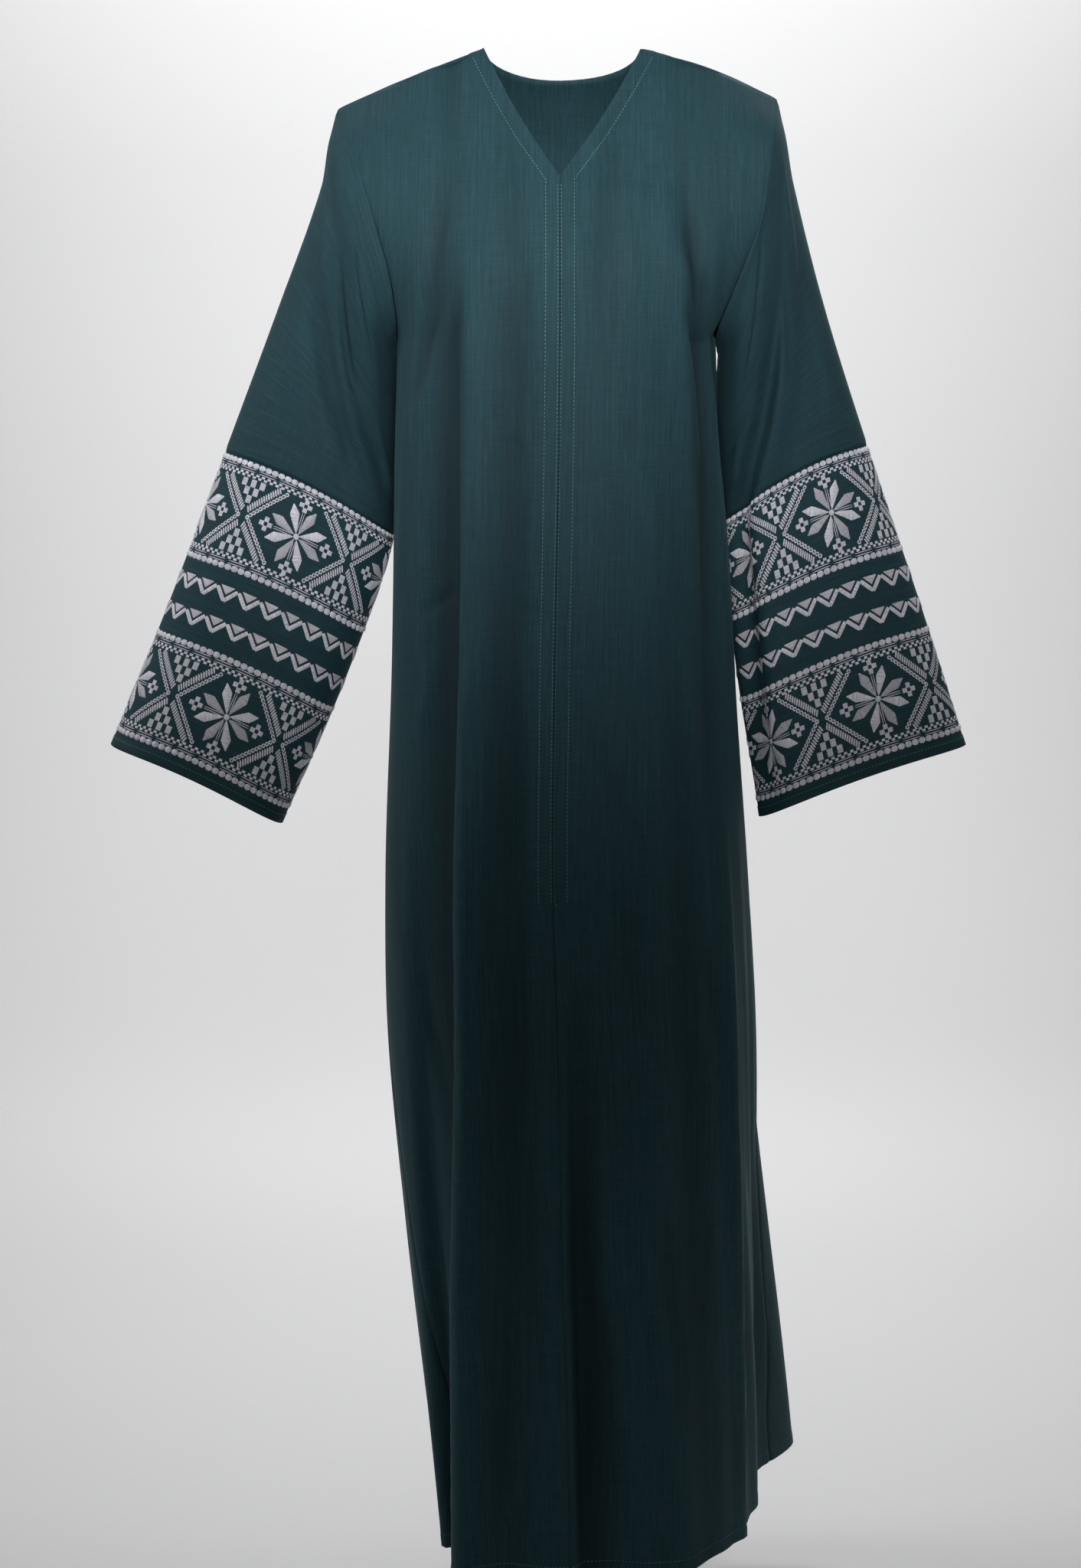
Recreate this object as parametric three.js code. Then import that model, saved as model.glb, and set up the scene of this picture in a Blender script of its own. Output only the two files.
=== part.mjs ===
import * as THREE from "three";

// An abaya as it is worn: two fronts joined down the centre, one back, and two wide sleeves,
// each with a deep embroidered end. Millimetres, +Z up, the front faces -Y.
// "left" and "right" in the tables are as seen from the front; piece names are the wearer's own.
// The origin is the middle of the shoulder line, where a wearer carries the garment.

// cloth and seams
const WALL = 2;
const SEAM_GAP = 0.3;
const CLOTH_COLOUR = 0x1d3a40;
const PANEL_COLOUR = 0x55686f;
const CLOTH_ROUGHNESS = 0.85;

// how finely each piece is divided
const YOKE_ROWS = 14;
const SKIRT_ROWS = 22;
const FRONT_COLUMNS = 13;
const NECK_COLUMNS = 6;
const SLEEVE_ROWS = 9;
const PANEL_ROWS = 7;
const FINE_STEPS = 180;

// how far above and below the underarm the body's rows are softened, how often and how strongly,
// and over how many columns this fades towards a seam
const EASE_REACH = 90;
const EASE_PASSES = 8;
const EASE_SHARE = 0.5;
const EASE_COLUMNS = 4;

// main heights
const UNDERARM_Z = -240;
const HEM_Z = -1390;
const V_BOTTOM_Z = -92;
const V_ROW = 0.5;
const SLEEVE_LENGTH = 610;
const PANEL_LENGTH = 290;

// The body below the arms, one row for each level. centre is the front seam's x, left and right
// are the two sides with their own depths, front and back are depths. frontRound and backRound
// are the section's exponents: 2 is an oval, more is squarer.
const BODY_COLUMNS = [
  "z", "centre", "left", "leftY", "right", "rightY", "front", "back", "frontRound", "backRound",
];
const BODY_LEVELS = [
  [-240, 0, -151, 5, 147, 5, -130, 108, 2.5, 3.2],
  [-330, -1, -154, 5, 152, 8, -134, 103, 2.4, 3.0],
  [-450, -3, -157, 5, 163, 12, -142, 112, 2.3, 2.5],
  [-560, -5, -160, 5, 170, 15, -148, 127, 2.3, 2.4],
  [-740, -6, -167, 2, 184, 20, -154, 135, 2.3, 2.3],
  [-900, -1, -166, -5, 193, 30, -160, 137, 2.3, 2.3],
  [-1090, 3, -150, -12, 196, 40, -170, 142, 2.4, 2.4],
  [-1240, 8, -133, -18, 197, 48, -180, 150, 2.6, 2.5],
  [-1390, 11, -115, -25, 197, 55, -190, 160, 2.8, 2.6],
].map((row) => Object.fromEntries(row.map((value, i) => [BODY_COLUMNS[i], value])));

// Where the side seams run, in degrees round the body from the centre front.
const SIDE_SEAMS = [
  { z: -240, left: -90, right: 90 },
  { z: -700, left: -90, right: 90 },
  { z: -900, left: -80, right: 88 },
  { z: -1240, left: -54, right: 90 },
  { z: -1390, left: -50, right: 92 },
];

// Folds that run down the body, in degrees round it from the centre front, right positive.
// Each starts at its top level and deepens to the hem; lean pushes its crest sideways.
const BODY_FOLDS = [
  { top: -230, topAt: -26, midAt: -26, hemAt: -35, mid: 11, hem: 26, half: 34, lean: -0.95 },
  { top: -330, topAt: -44, midAt: -45, hemAt: -52, mid: -9, hem: -27, half: 30, lean: 0 },
  { top: -880, topAt: -66, midAt: -66, hemAt: -66, mid: 2, hem: 9, half: 24, lean: 0 },
  { top: -420, topAt: -97, midAt: -97, hemAt: -100, mid: -8, hem: -6, half: 22, lean: 0 },
  { top: -400, topAt: -114, midAt: -114, hemAt: -120, mid: 9, hem: 16, half: 34, lean: 0 },
  { top: -640, topAt: 56, midAt: 59, hemAt: 78, mid: 4, hem: 7, half: 30, lean: 0 },
  { top: -560, topAt: 76, midAt: 78, hemAt: 92, mid: -5, hem: -10, half: 28, lean: 0 },
  { top: -640, topAt: 100, midAt: 102, hemAt: 105, mid: 7, hem: 70, half: 62, lean: 0 },
  { top: -930, topAt: 7, midAt: 7, hemAt: 9, mid: 0, hem: -11, half: 34, lean: 0 },
  { top: -800, topAt: 28, midAt: 28, hemAt: 31, mid: 1, hem: 8, half: 42, lean: 0 },
  { top: -380, topAt: -141, midAt: -142, hemAt: -144, mid: -8, hem: -20, half: 38, lean: 0 },
  { top: -330, topAt: -160, midAt: -163, hemAt: -166, mid: 8, hem: 20, half: 40, lean: 0.4 },
  { top: -420, topAt: 178, midAt: 178, hemAt: 176, mid: -9, hem: -22, half: 40, lean: 0 },
  { top: -300, topAt: 158, midAt: 158, hemAt: 158, mid: 10, hem: 24, half: 42, lean: -0.4 },
  { top: -460, topAt: 138, midAt: 138, hemAt: 138, mid: -7, hem: -22, half: 38, lean: 0 },
];

// The pull from the fullest part of the chest to the right side, where the cloth turns back.
const CHEST_FOLDS = [
  { top: -110, bottom: -560, topAt: 42, bottomAt: 78, deep: 6, half: 26 },
  { top: -110, bottom: -520, topAt: 64, bottomAt: 106, deep: -8, half: 26 },
  { top: -120, bottom: -480, topAt: -44, bottomAt: -72, deep: 4, half: 24 },
];

// The armhole from the underarm (up 0) to the shoulder tip (up 1), with each side's own height.
const ARMHOLE = [
  { up: 0, leftZ: -240, rightZ: -240, left: -151, right: 147, front: 5, back: 5 },
  { up: 0.085, leftZ: -234, rightZ: -234, left: -150, right: 146, front: -22, back: 31 },
  { up: 0.17, leftZ: -221, rightZ: -221, left: -150, right: 149, front: -42, back: 48 },
  { up: 0.33, leftZ: -181, rightZ: -180, left: -155, right: 165, front: -62, back: 61 },
  { up: 0.5, leftZ: -134, rightZ: -131, left: -167, right: 183, front: -66, back: 65 },
  { up: 0.67, leftZ: -92, rightZ: -87, left: -179, right: 190, front: -59, back: 61 },
  { up: 0.84, leftZ: -56, rightZ: -49, left: -192, right: 196, front: -40, back: 44 },
  { up: 1, leftZ: -27, rightZ: -18, left: -205, right: 202, front: 4, back: 4 },
];

// The centre front up to the foot of the V, and the centre back up to the neck.
const CENTRE_FRONT = [
  { z: -240, y: -130 },
  { z: -200, y: -131 },
  { z: -160, y: -126 },
  { z: -125, y: -113 },
  { z: -92, y: -97 },
];
const CENTRE_BACK = [
  { z: -240, y: 108 },
  { z: -180, y: 113 },
  { z: -120, y: 110 },
  { z: -60, y: 92 },
  { z: -20, y: 70 },
  { z: 2, y: 54 },
];
const NECK_POINT = { left: -69, right: 75, y: -8, z: 26 };
const V_CURVE = 4;
const CUT_LIMIT = 0.7;
const SHOULDER_RISE = { left: 2, right: 5 };
const TOP_EDGE_PULL = { front: 2, back: 4 };

// The sleeves, one row for each ring: its outer and inner ends as seen from the front, the
// depth of its middle and its half depth, and how far its front rises above the line between
// the ends. along is measured down the sleeve from the armhole.
const SLEEVE_RINGS = {
  left: [
    { along: 24, outerX: -212, outerZ: -53, innerX: -159, innerZ: -250, y: 9, deep: 70, rise: 0 },
    { along: 60, outerX: -221, outerZ: -97, innerX: -162, innerZ: -272, y: 16, deep: 67, rise: 2 },
    { along: 175, outerX: -265, outerZ: -205, innerX: -157, innerZ: -345, y: 44, deep: 58, rise: 7 },
    { along: 320, outerX: -320, outerZ: -344, innerX: -158, innerZ: -424, y: 50, deep: 55, rise: 12 },
    { along: 465, outerX: -374, outerZ: -484, innerX: -205, innerZ: -561, y: 32, deep: 55, rise: 12 },
    { along: 610, outerX: -431, outerZ: -622, innerX: -267, innerZ: -700, y: 8, deep: 57, rise: 13 },
  ],
  right: [
    { along: 24, outerX: 209, outerZ: -48, innerX: 156, innerZ: -252, y: 9, deep: 70, rise: 0 },
    { along: 60, outerX: 218, outerZ: -93, innerX: 158, innerZ: -276, y: 16, deep: 67, rise: 2 },
    { along: 175, outerX: 252, outerZ: -206, innerX: 155, innerZ: -345, y: 44, deep: 58, rise: 8 },
    { along: 320, outerX: 297, outerZ: -338, innerX: 158, innerZ: -412, y: 52, deep: 57, rise: 15 },
    { along: 465, outerX: 347, outerZ: -481, innerX: 173, innerZ: -552, y: 36, deep: 50, rise: 13 },
    { along: 610, outerX: 393, outerZ: -623, innerX: 195, innerZ: -694, y: 8, deep: 42, rise: 10 },
  ],
};

// Folds down the sleeves, in degrees round the ring from its outer end over the front.
const SLEEVE_FOLDS = {
  left: [
    { from: 40, to: 320, fromAt: 48, midAt: 106, toAt: 150, deep: 8, half: 26, lean: -0.8 },
    { from: 60, to: 320, fromAt: 22, midAt: 76, toAt: 116, deep: -7, half: 28, lean: 0 },
    { from: 330, to: 760, fromAt: 262, midAt: 256, toAt: 250, deep: 8, half: 34, lean: 0 },
    { from: 120, to: 760, fromAt: 300, midAt: 298, toAt: 296, deep: -9, half: 34, lean: 0 },
  ],
  right: [
    { from: 30, to: 640, fromAt: 40, midAt: 118, toAt: 136, deep: 11, half: 27, lean: 0.9 },
    { from: 60, to: 620, fromAt: 68, midAt: 146, toAt: 160, deep: -12, half: 28, lean: 0 },
    { from: 250, to: 760, fromAt: 262, midAt: 262, toAt: 262, deep: 8, half: 34, lean: 0 },
    { from: 160, to: 760, fromAt: 300, midAt: 300, toAt: 300, deep: -8, half: 34, lean: 0 },
  ],
};

const DEGREE = Math.PI / 180;

function lerp(a, b, t) {
  return a + (b - a) * t;
}

function smooth(t) {
  const k = Math.min(1, Math.max(0, t));
  return k * k * (3 - 2 * k);
}

// One column of a table at any value of its key column, as a smooth curve through the rows.
function column(table, key, name, value) {
  const rows = table[0][key] <= table[table.length - 1][key] ? table : [...table].reverse();
  const last = rows.length - 1;
  const held = Math.min(rows[last][key], Math.max(rows[0][key], value));
  let i = 0;
  while (i < last - 1 && held > rows[i + 1][key]) i += 1;
  const span = rows[i + 1][key] - rows[i][key];
  const slope = (k) => {
    const before = rows[Math.max(0, k - 1)];
    const after = rows[Math.min(last, k + 1)];
    return (after[name] - before[name]) / (after[key] - before[key]);
  };
  const t = (held - rows[i][key]) / span;
  const from = rows[i][name] * (1 + 2 * t) * (1 - t) ** 2 + slope(i) * span * t * (1 - t) ** 2;
  const to = rows[i + 1][name] * t * t * (3 - 2 * t) + slope(i + 1) * span * t * t * (t - 1);
  return from + to;
}

function bump(distance, half) {
  const k = Math.abs(distance) / half;
  return k < 1 ? Math.cos((k * Math.PI) / 2) ** 2 : 0;
}

// The body's smooth section below the arms, at an angle from the centre front.
function bodySection(angle, z) {
  const of = (name) => column(BODY_LEVELS, "z", name, z);
  const turned = ((angle + 540) % 360) - 180;
  const side = turned < 0 ? "left" : "right";
  const face = Math.abs(turned) < 90 ? "front" : "back";
  const power = 2 / of(`${face}Round`);
  const sine = Math.abs(Math.sin(turned * DEGREE)) ** power;
  const cosine = Math.abs(Math.cos(turned * DEGREE)) ** power;
  const x = lerp(of("centre"), of(side), sine);
  const y = lerp(of(`${side}Y`), of(face), cosine);
  return new THREE.Vector3(x, y, z);
}

// The direction a fold moves the cloth in: away from the body's upright axis.
function outward(point) {
  const z = Math.min(point.z, UNDERARM_Z);
  const half = column(BODY_LEVELS, "z", "right", z);
  const deep = column(BODY_LEVELS, "z", "back", z);
  return new THREE.Vector3(point.x / half ** 2, point.y / deep ** 2, 0).normalize();
}

// How far along its length a body fold has deepened, at a level.
function bodyFoldAt(fold, z) {
  const middle = (fold.top + HEM_Z) / 2;
  const down = (fold.top - z) / (fold.top - HEM_Z);
  if (down <= 0) return null;
  const upper = z > middle;
  const t = upper ? down * 2 : down * 2 - 1;
  const angle = upper ? lerp(fold.topAt, fold.midAt, t) : lerp(fold.midAt, fold.hemAt, t);
  const deep = upper ? fold.mid * smooth(t) : lerp(fold.mid, fold.hem, t);
  return { angle, deep, half: fold.half, lean: fold.lean };
}

function chestFoldAt(fold, z) {
  const down = (fold.top - z) / (fold.top - fold.bottom);
  if (down <= 0 || down >= 1) return null;
  const angle = lerp(fold.topAt, fold.bottomAt, down);
  return { angle, deep: fold.deep * Math.sin(Math.PI * down), half: fold.half, lean: 0 };
}

function foldsAt(z) {
  const all = [
    ...BODY_FOLDS.map((fold) => bodyFoldAt(fold, z)),
    ...CHEST_FOLDS.map((fold) => chestFoldAt(fold, z)),
  ];
  return all.filter((fold) => fold !== null);
}

// Moves a point of a section by the folds near it. distanceTo gives the way round to a fold.
function folded(point, folds, distanceTo, strength) {
  const away = outward(point);
  const round = new THREE.Vector3(-away.y, away.x, 0);
  const moved = point.clone();
  folds.forEach((fold) => {
    const height = fold.deep * strength * bump(distanceTo(fold), fold.half);
    moved.addScaledVector(away, height);
    moved.addScaledVector(round, height * fold.lean);
  });
  return moved;
}

// Lengths round a section, from a list of its points.
function runningLengths(points) {
  const lengths = [0];
  for (let i = 1; i < points.length; i += 1) {
    lengths.push(lengths[i - 1] + points[i].distanceTo(points[i - 1]));
  }
  return lengths;
}

function valueAtLength(lengths, length) {
  let i = 0;
  while (i < lengths.length - 2 && length > lengths[i + 1]) i += 1;
  return i + (length - lengths[i]) / (lengths[i + 1] - lengths[i]);
}

function lengthAtValue(lengths, value) {
  const held = Math.min(lengths.length - 1, Math.max(0, value));
  const i = Math.min(lengths.length - 2, Math.floor(held));
  return lerp(lengths[i], lengths[i + 1], held - i);
}

// One row of the skirt between two angles, its points evenly spaced round the section.
function skirtRow(z, fromAngle, toAngle, columns) {
  const start = -180;
  const step = 720 / (2 * FINE_STEPS);
  const ring = [];
  for (let i = 0; i <= 2 * FINE_STEPS; i += 1) ring.push(bodySection(start + i * step, z));
  const lengths = runningLengths(ring);
  const girth = lengths[FINE_STEPS];
  const lengthOf = (angle) => lengthAtValue(lengths, (angle - start) / step);
  const folds = foldsAt(z);
  const from = lengthOf(fromAngle);
  const to = lengthOf(toAngle);
  const row = [];
  for (let c = 0; c <= columns; c += 1) {
    const length = lerp(from, to, c / columns);
    const angle = start + valueAtLength(lengths, length) * step;
    const distanceTo = (fold) => {
      const way = (length - lengthOf(fold.angle)) % girth;
      return way > girth / 2 ? way - girth : way < -girth / 2 ? way + girth : way;
    };
    row.push(folded(bodySection(angle, z), folds, distanceTo, 1));
  }
  return row;
}

function armholePoint(side, face, up) {
  const of = (name) => column(ARMHOLE, "up", name, up);
  return new THREE.Vector3(of(side), of(face), of(`${side}Z`));
}

// The middle end of a row above the arms: on the centre front or the V, or on the centre back.
function middlePoint(side, face, up) {
  if (face === "back") {
    const z = lerp(UNDERARM_Z, CENTRE_BACK[CENTRE_BACK.length - 1].z, up);
    return new THREE.Vector3(3 * up, column(CENTRE_BACK, "z", "y", z), z);
  }
  if (up <= V_ROW) {
    const z = lerp(UNDERARM_Z, V_BOTTOM_Z, up / V_ROW);
    return new THREE.Vector3(0, column(CENTRE_FRONT, "z", "y", z), z);
  }
  const t = (up - V_ROW) / (1 - V_ROW);
  const foot = CENTRE_FRONT[CENTRE_FRONT.length - 1];
  const convex = Math.sin(Math.PI * t) * V_CURVE;
  const x = NECK_POINT[side] * t + Math.sign(NECK_POINT[side]) * convex;
  return new THREE.Vector3(x, lerp(foot.y, NECK_POINT.y, t ** 0.9), lerp(foot.z, NECK_POINT.z, t));
}

// The top edge of half the garment, from the shoulder tip to the middle: the shoulder seam,
// and on the back the neck's curve after it.
function topEdge(side, face, t) {
  const tip = armholePoint(side, face, 1);
  const neck = new THREE.Vector3(NECK_POINT[side], NECK_POINT.y, NECK_POINT.z);
  const share = face === "back" ? FRONT_COLUMNS / (FRONT_COLUMNS + NECK_COLUMNS / 2) : 1;
  if (t <= share) {
    const k = t / share;
    const point = tip.lerp(neck, k);
    point.z += SHOULDER_RISE[side] * Math.sin(Math.PI * k);
    return point;
  }
  const turn = ((t - share) / (1 - share)) * 90 * DEGREE;
  const middle = middlePoint(side, face, 1);
  return new THREE.Vector3(
    lerp(middle.x, neck.x, Math.cos(turn)),
    lerp(neck.y, middle.y, Math.sin(turn)),
    lerp(neck.z, middle.z, Math.sin(turn)),
  );
}

// One point of a row above the arms, t from the armhole to the middle. A low row follows the
// body's oval from where the armhole cuts it, and the top one follows the top edge.
function yokePoint(side, face, up, t) {
  const arm = armholePoint(side, face, up);
  const middle = middlePoint(side, face, up);
  const tip = topEdge(side, face, 0);
  const top = topEdge(side, face, t);
  const topMiddle = topEdge(side, face, 1);
  const power = 2 / BODY_LEVELS[0][`${face}Round`];
  const sideY = ARMHOLE[0].front;
  const cut = Math.min(CUT_LIMIT, Math.max(0, (arm.y - sideY) / (middle.y - sideY)));
  const start = Math.acos(cut ** (1 / power));
  const sine = Math.sin(start) ** power;
  const lowX = 1 - Math.sin(start * (1 - t)) ** power / sine;
  const lowY = (Math.cos(start * (1 - t)) ** power - cut) / (1 - cut);
  const share = (name) => (top[name] - tip[name]) / (topMiddle[name] - tip[name]);
  const k = up ** TOP_EDGE_PULL[face];
  return new THREE.Vector3(
    lerp(arm.x, middle.x, lerp(lowX, share("x"), k)),
    lerp(arm.y, middle.y, lerp(lowY, share("y"), k)),
    lerp(arm.z, middle.z, lerp(lowX, share("z"), k)),
  );
}

// One row above the arms for half the garment, from the armhole to the middle. Rows near the
// top take their points by share of the top edge, so that both shoulder edges meet.
function yokeRow(side, face, up, columns) {
  const fine = [];
  for (let i = 0; i <= FINE_STEPS; i += 1) fine.push(yokePoint(side, face, up, i / FINE_STEPS));
  const lengths = runningLengths(fine);
  const whole = lengths[FINE_STEPS];
  const level = lengths.map((_, i) => fine[i].z);
  const row = [];
  for (let c = 0; c <= columns; c += 1) {
    const even = valueAtLength(lengths, (whole * c) / columns) / FINE_STEPS;
    const t = lerp(even, c / columns, up ** TOP_EDGE_PULL[face]);
    const length = lengthAtValue(lengths, t * FINE_STEPS);
    const point = yokePoint(side, face, up, t);
    const folds = foldsAt(level[Math.round(t * FINE_STEPS)]);
    const edges = smooth(t * 5) * smooth((1 - t) * 5);
    const strength = lerp(1, edges, smooth(up * 5));
    const distanceTo = (fold) => whole - length - foldLength(side, face, fold.angle);
    row.push(folded(point, folds, distanceTo, strength));
  }
  return row;
}

// How far a fold lies from the middle, measured on the section at the underarm.
function foldLength(side, face, angle) {
  const fromMiddle = face === "front" ? angle : 180 - Math.abs(angle);
  const sign = side === "left" ? -1 : 1;
  const same = face === "front" ? Math.sign(angle) === sign && Math.abs(angle) < 100 : angle * sign > 80;
  if (!same) return -Infinity;
  const points = [];
  for (let i = 0; i <= 90; i += 1) {
    const at = face === "front" ? i * sign : sign * (180 - i);
    points.push(bodySection(at, UNDERARM_Z));
  }
  return lengthAtValue(runningLengths(points), Math.abs(fromMiddle));
}

function skirtLevels() {
  const levels = [];
  for (let r = 0; r < SKIRT_ROWS; r += 1) levels.push(lerp(HEM_Z, UNDERARM_Z, r / SKIRT_ROWS));
  return levels;
}

function seamAngle(side, z) {
  return column(SIDE_SEAMS, "z", side, z);
}

// Softens the change from the skirt's shape to the shape above the arms: each point moves
// towards the middle of the points above and below it, and the pieces' edges stay.
function easeUnderarm(rows, edges) {
  const last = rows[0].length - 1;
  for (let pass = 0; pass < EASE_PASSES; pass += 1) {
    const before = rows.map((row) => row.map((point) => point.clone()));
    for (let r = 1; r < rows.length - 1; r += 1) {
      for (let c = 0; c <= last; c += 1) {
        const fromEdge = Math.min(edges.start ? c : last, edges.end ? last - c : last);
        const away = Math.abs(before[r][c].z - UNDERARM_Z);
        const inward = smooth(fromEdge / EASE_COLUMNS);
        const strength = EASE_SHARE * bump(away, EASE_REACH) * inward;
        const middle = before[r - 1][c].clone().add(before[r + 1][c]).multiplyScalar(0.5);
        rows[r][c].y = lerp(before[r][c].y, middle.y, strength);
      }
    }
  }
  return rows;
}

// The rows of a front, from the hem up, each from left to right as seen from the front.
function frontNet(side) {
  const rows = skirtLevels().map((z) => {
    const from = side === "left" ? seamAngle("left", z) : 0;
    const to = side === "left" ? 0 : seamAngle("right", z);
    return skirtRow(z, from, to, FRONT_COLUMNS);
  });
  for (let r = 0; r <= YOKE_ROWS; r += 1) {
    const row = yokeRow(side, "front", r / YOKE_ROWS, FRONT_COLUMNS);
    rows.push(side === "left" ? row : row.reverse());
  }
  const edges = { start: side === "left", end: side === "right" };
  return { rows: easeUnderarm(rows, edges), closed: false, seams: ["top", "start", "end"] };
}

// The rows of the back, from the hem up, each from the right to the left seen from the front.
function backNet() {
  const half = FRONT_COLUMNS + NECK_COLUMNS / 2;
  const rows = skirtLevels().map((z) => {
    const right = skirtRow(z, seamAngle("right", z), 180, half);
    const left = skirtRow(z, 180, 360 + seamAngle("left", z), half);
    return [...right, ...left.slice(1)];
  });
  for (let r = 0; r <= YOKE_ROWS; r += 1) {
    const right = yokeRow("right", "back", r / YOKE_ROWS, half);
    const left = yokeRow("left", "back", r / YOKE_ROWS, half).reverse();
    rows.push([...right, ...left.slice(1)]);
  }
  const edges = { start: true, end: true };
  return { rows: easeUnderarm(rows, edges), closed: false, seams: ["top", "start", "end"] };
}

// The armhole as a ring: over the front from the shoulder tip to the underarm, and back up.
function armholeRing(side) {
  const ring = [];
  for (let r = YOKE_ROWS; r > 0; r -= 1) ring.push(armholePoint(side, "front", r / YOKE_ROWS));
  for (let r = 0; r < YOKE_ROWS; r += 1) ring.push(armholePoint(side, "back", r / YOKE_ROWS));
  return ring;
}

function ovalPoint(ring, angle) {
  const outward = (1 + Math.cos(angle * DEGREE)) / 2;
  const forward = Math.sin(angle * DEGREE);
  const x = lerp(ring.innerX, ring.outerX, outward);
  const z = lerp(ring.innerZ, ring.outerZ, outward) + ring.rise * Math.max(0, forward) ** 2;
  return new THREE.Vector3(x, ring.y - ring.deep * forward, z);
}

// One smooth ring of a sleeve at a distance down it, before its folds.
function sleeveRing(side, along) {
  const hole = armholeRing(side);
  const table = SLEEVE_RINGS[side];
  return hole.map((start, i) => {
    const angle = (i * 360) / hole.length;
    const stations = table.map((ring) => {
      const point = ovalPoint(ring, angle);
      return { along: ring.along, x: point.x, y: point.y, z: point.z };
    });
    stations.unshift({ along: 0, x: start.x, y: start.y, z: start.z });
    const of = (name) => column(stations, "along", name, along);
    return new THREE.Vector3(of("x"), of("y"), of("z"));
  });
}

function sleeveRow(side, along) {
  const ring = sleeveRing(side, along);
  const count = ring.length;
  const closed = [...ring, ring[0]];
  const lengths = runningLengths(closed);
  const whole = lengths[count];
  const middle = ring.reduce((sum, p) => sum.add(p), new THREE.Vector3()).divideScalar(count);
  return ring.map((point, i) => {
    const before = ring[(i + count - 1) % count];
    const after = ring[(i + 1) % count];
    const round = after.clone().sub(before).normalize();
    const away = point.clone().sub(middle);
    away.addScaledVector(round, -away.dot(round)).normalize();
    const moved = point.clone();
    SLEEVE_FOLDS[side].forEach((fold) => {
      const down = (along - fold.from) / (fold.to - fold.from);
      if (down <= 0 || down >= 1) return;
      const upper = down < 0.5;
      const half = upper ? down * 2 : down * 2 - 1;
      const at = upper ? lerp(fold.fromAt, fold.midAt, half) : lerp(fold.midAt, fold.toAt, half);
      const way = lengths[i] - lengthAtValue(lengths, (at / 360) * count);
      const wrapped = way - whole * Math.round(way / whole);
      const height = fold.deep * Math.sin(Math.PI * down) * bump(wrapped, fold.half);
      moved.addScaledVector(away, height);
      moved.addScaledVector(round, height * fold.lean);
    });
    return moved;
  });
}

function sleeveNet(side, from, to, steps, seams) {
  const rows = [];
  for (let r = 0; r <= steps; r += 1) rows.push(sleeveRow(side, lerp(from, to, r / steps)));
  return { rows, closed: true, seams, turned: side === "left" };
}

const PANEL_START = SLEEVE_LENGTH - PANEL_LENGTH;
const NETS = {
  front_right: frontNet("left"),
  front_left: frontNet("right"),
  back: backNet(),
  sleeve_right: sleeveNet("left", 0, PANEL_START, SLEEVE_ROWS, ["bottom", "top"]),
  sleeve_left: sleeveNet("right", 0, PANEL_START, SLEEVE_ROWS, ["bottom", "top"]),
  sleeve_panel_right: sleeveNet("left", PANEL_START, SLEEVE_LENGTH, PANEL_ROWS, ["bottom"]),
  sleeve_panel_left: sleeveNet("right", PANEL_START, SLEEVE_LENGTH, PANEL_ROWS, ["bottom"]),
};

function placeKey(point) {
  return [point.x, point.y, point.z].map((value) => Math.round(value * 20)).join(" ");
}

// Neighbouring pieces share their seam points, so one outward direction is found for each place
// from the faces of every piece that meets there. At an armhole it halves the corner between
// the body and the sleeve.
const bodyNormals = new Map();
const sleeveNormals = new Map();
const sharedPieces = new Map();

function addFaceNormals(name, net) {
  const normals = name.startsWith("sleeve") ? sleeveNormals : bodyNormals;
  const count = net.rows[0].length;
  const last = net.closed ? count : count - 1;
  for (let r = 0; r < net.rows.length - 1; r += 1) {
    for (let c = 0; c < last; c += 1) {
      const a = net.rows[r][c];
      const b = net.rows[r][(c + 1) % count];
      const d = net.rows[r + 1][c];
      const e = net.rows[r + 1][(c + 1) % count];
      const normal = e.clone().sub(a).cross(d.clone().sub(b));
      if (net.turned) normal.negate();
      [a, b, d, e].forEach((corner) => {
        const key = placeKey(corner);
        if (!normals.has(key)) normals.set(key, new THREE.Vector3());
        normals.get(key).add(normal);
        if (!sharedPieces.has(key)) sharedPieces.set(key, new Set());
        sharedPieces.get(key).add(name);
      });
    }
  }
}

function sharedNormal(key) {
  const sum = new THREE.Vector3();
  [bodyNormals, sleeveNormals].forEach((normals) => {
    if (normals.has(key)) sum.add(normals.get(key).clone().normalize());
  });
  return sum.normalize();
}

// A seam point steps back from the seam by half the gap, square to the seam and in the cloth.
function stepBack(point, inside, along, normal) {
  const way = inside.clone().sub(point);
  way.addScaledVector(normal, -way.dot(normal));
  const tangent = along.clone().addScaledVector(normal, -along.dot(normal)).normalize();
  way.addScaledVector(tangent, -way.dot(tangent));
  return way.normalize().multiplyScalar(SEAM_GAP / 2);
}

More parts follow.
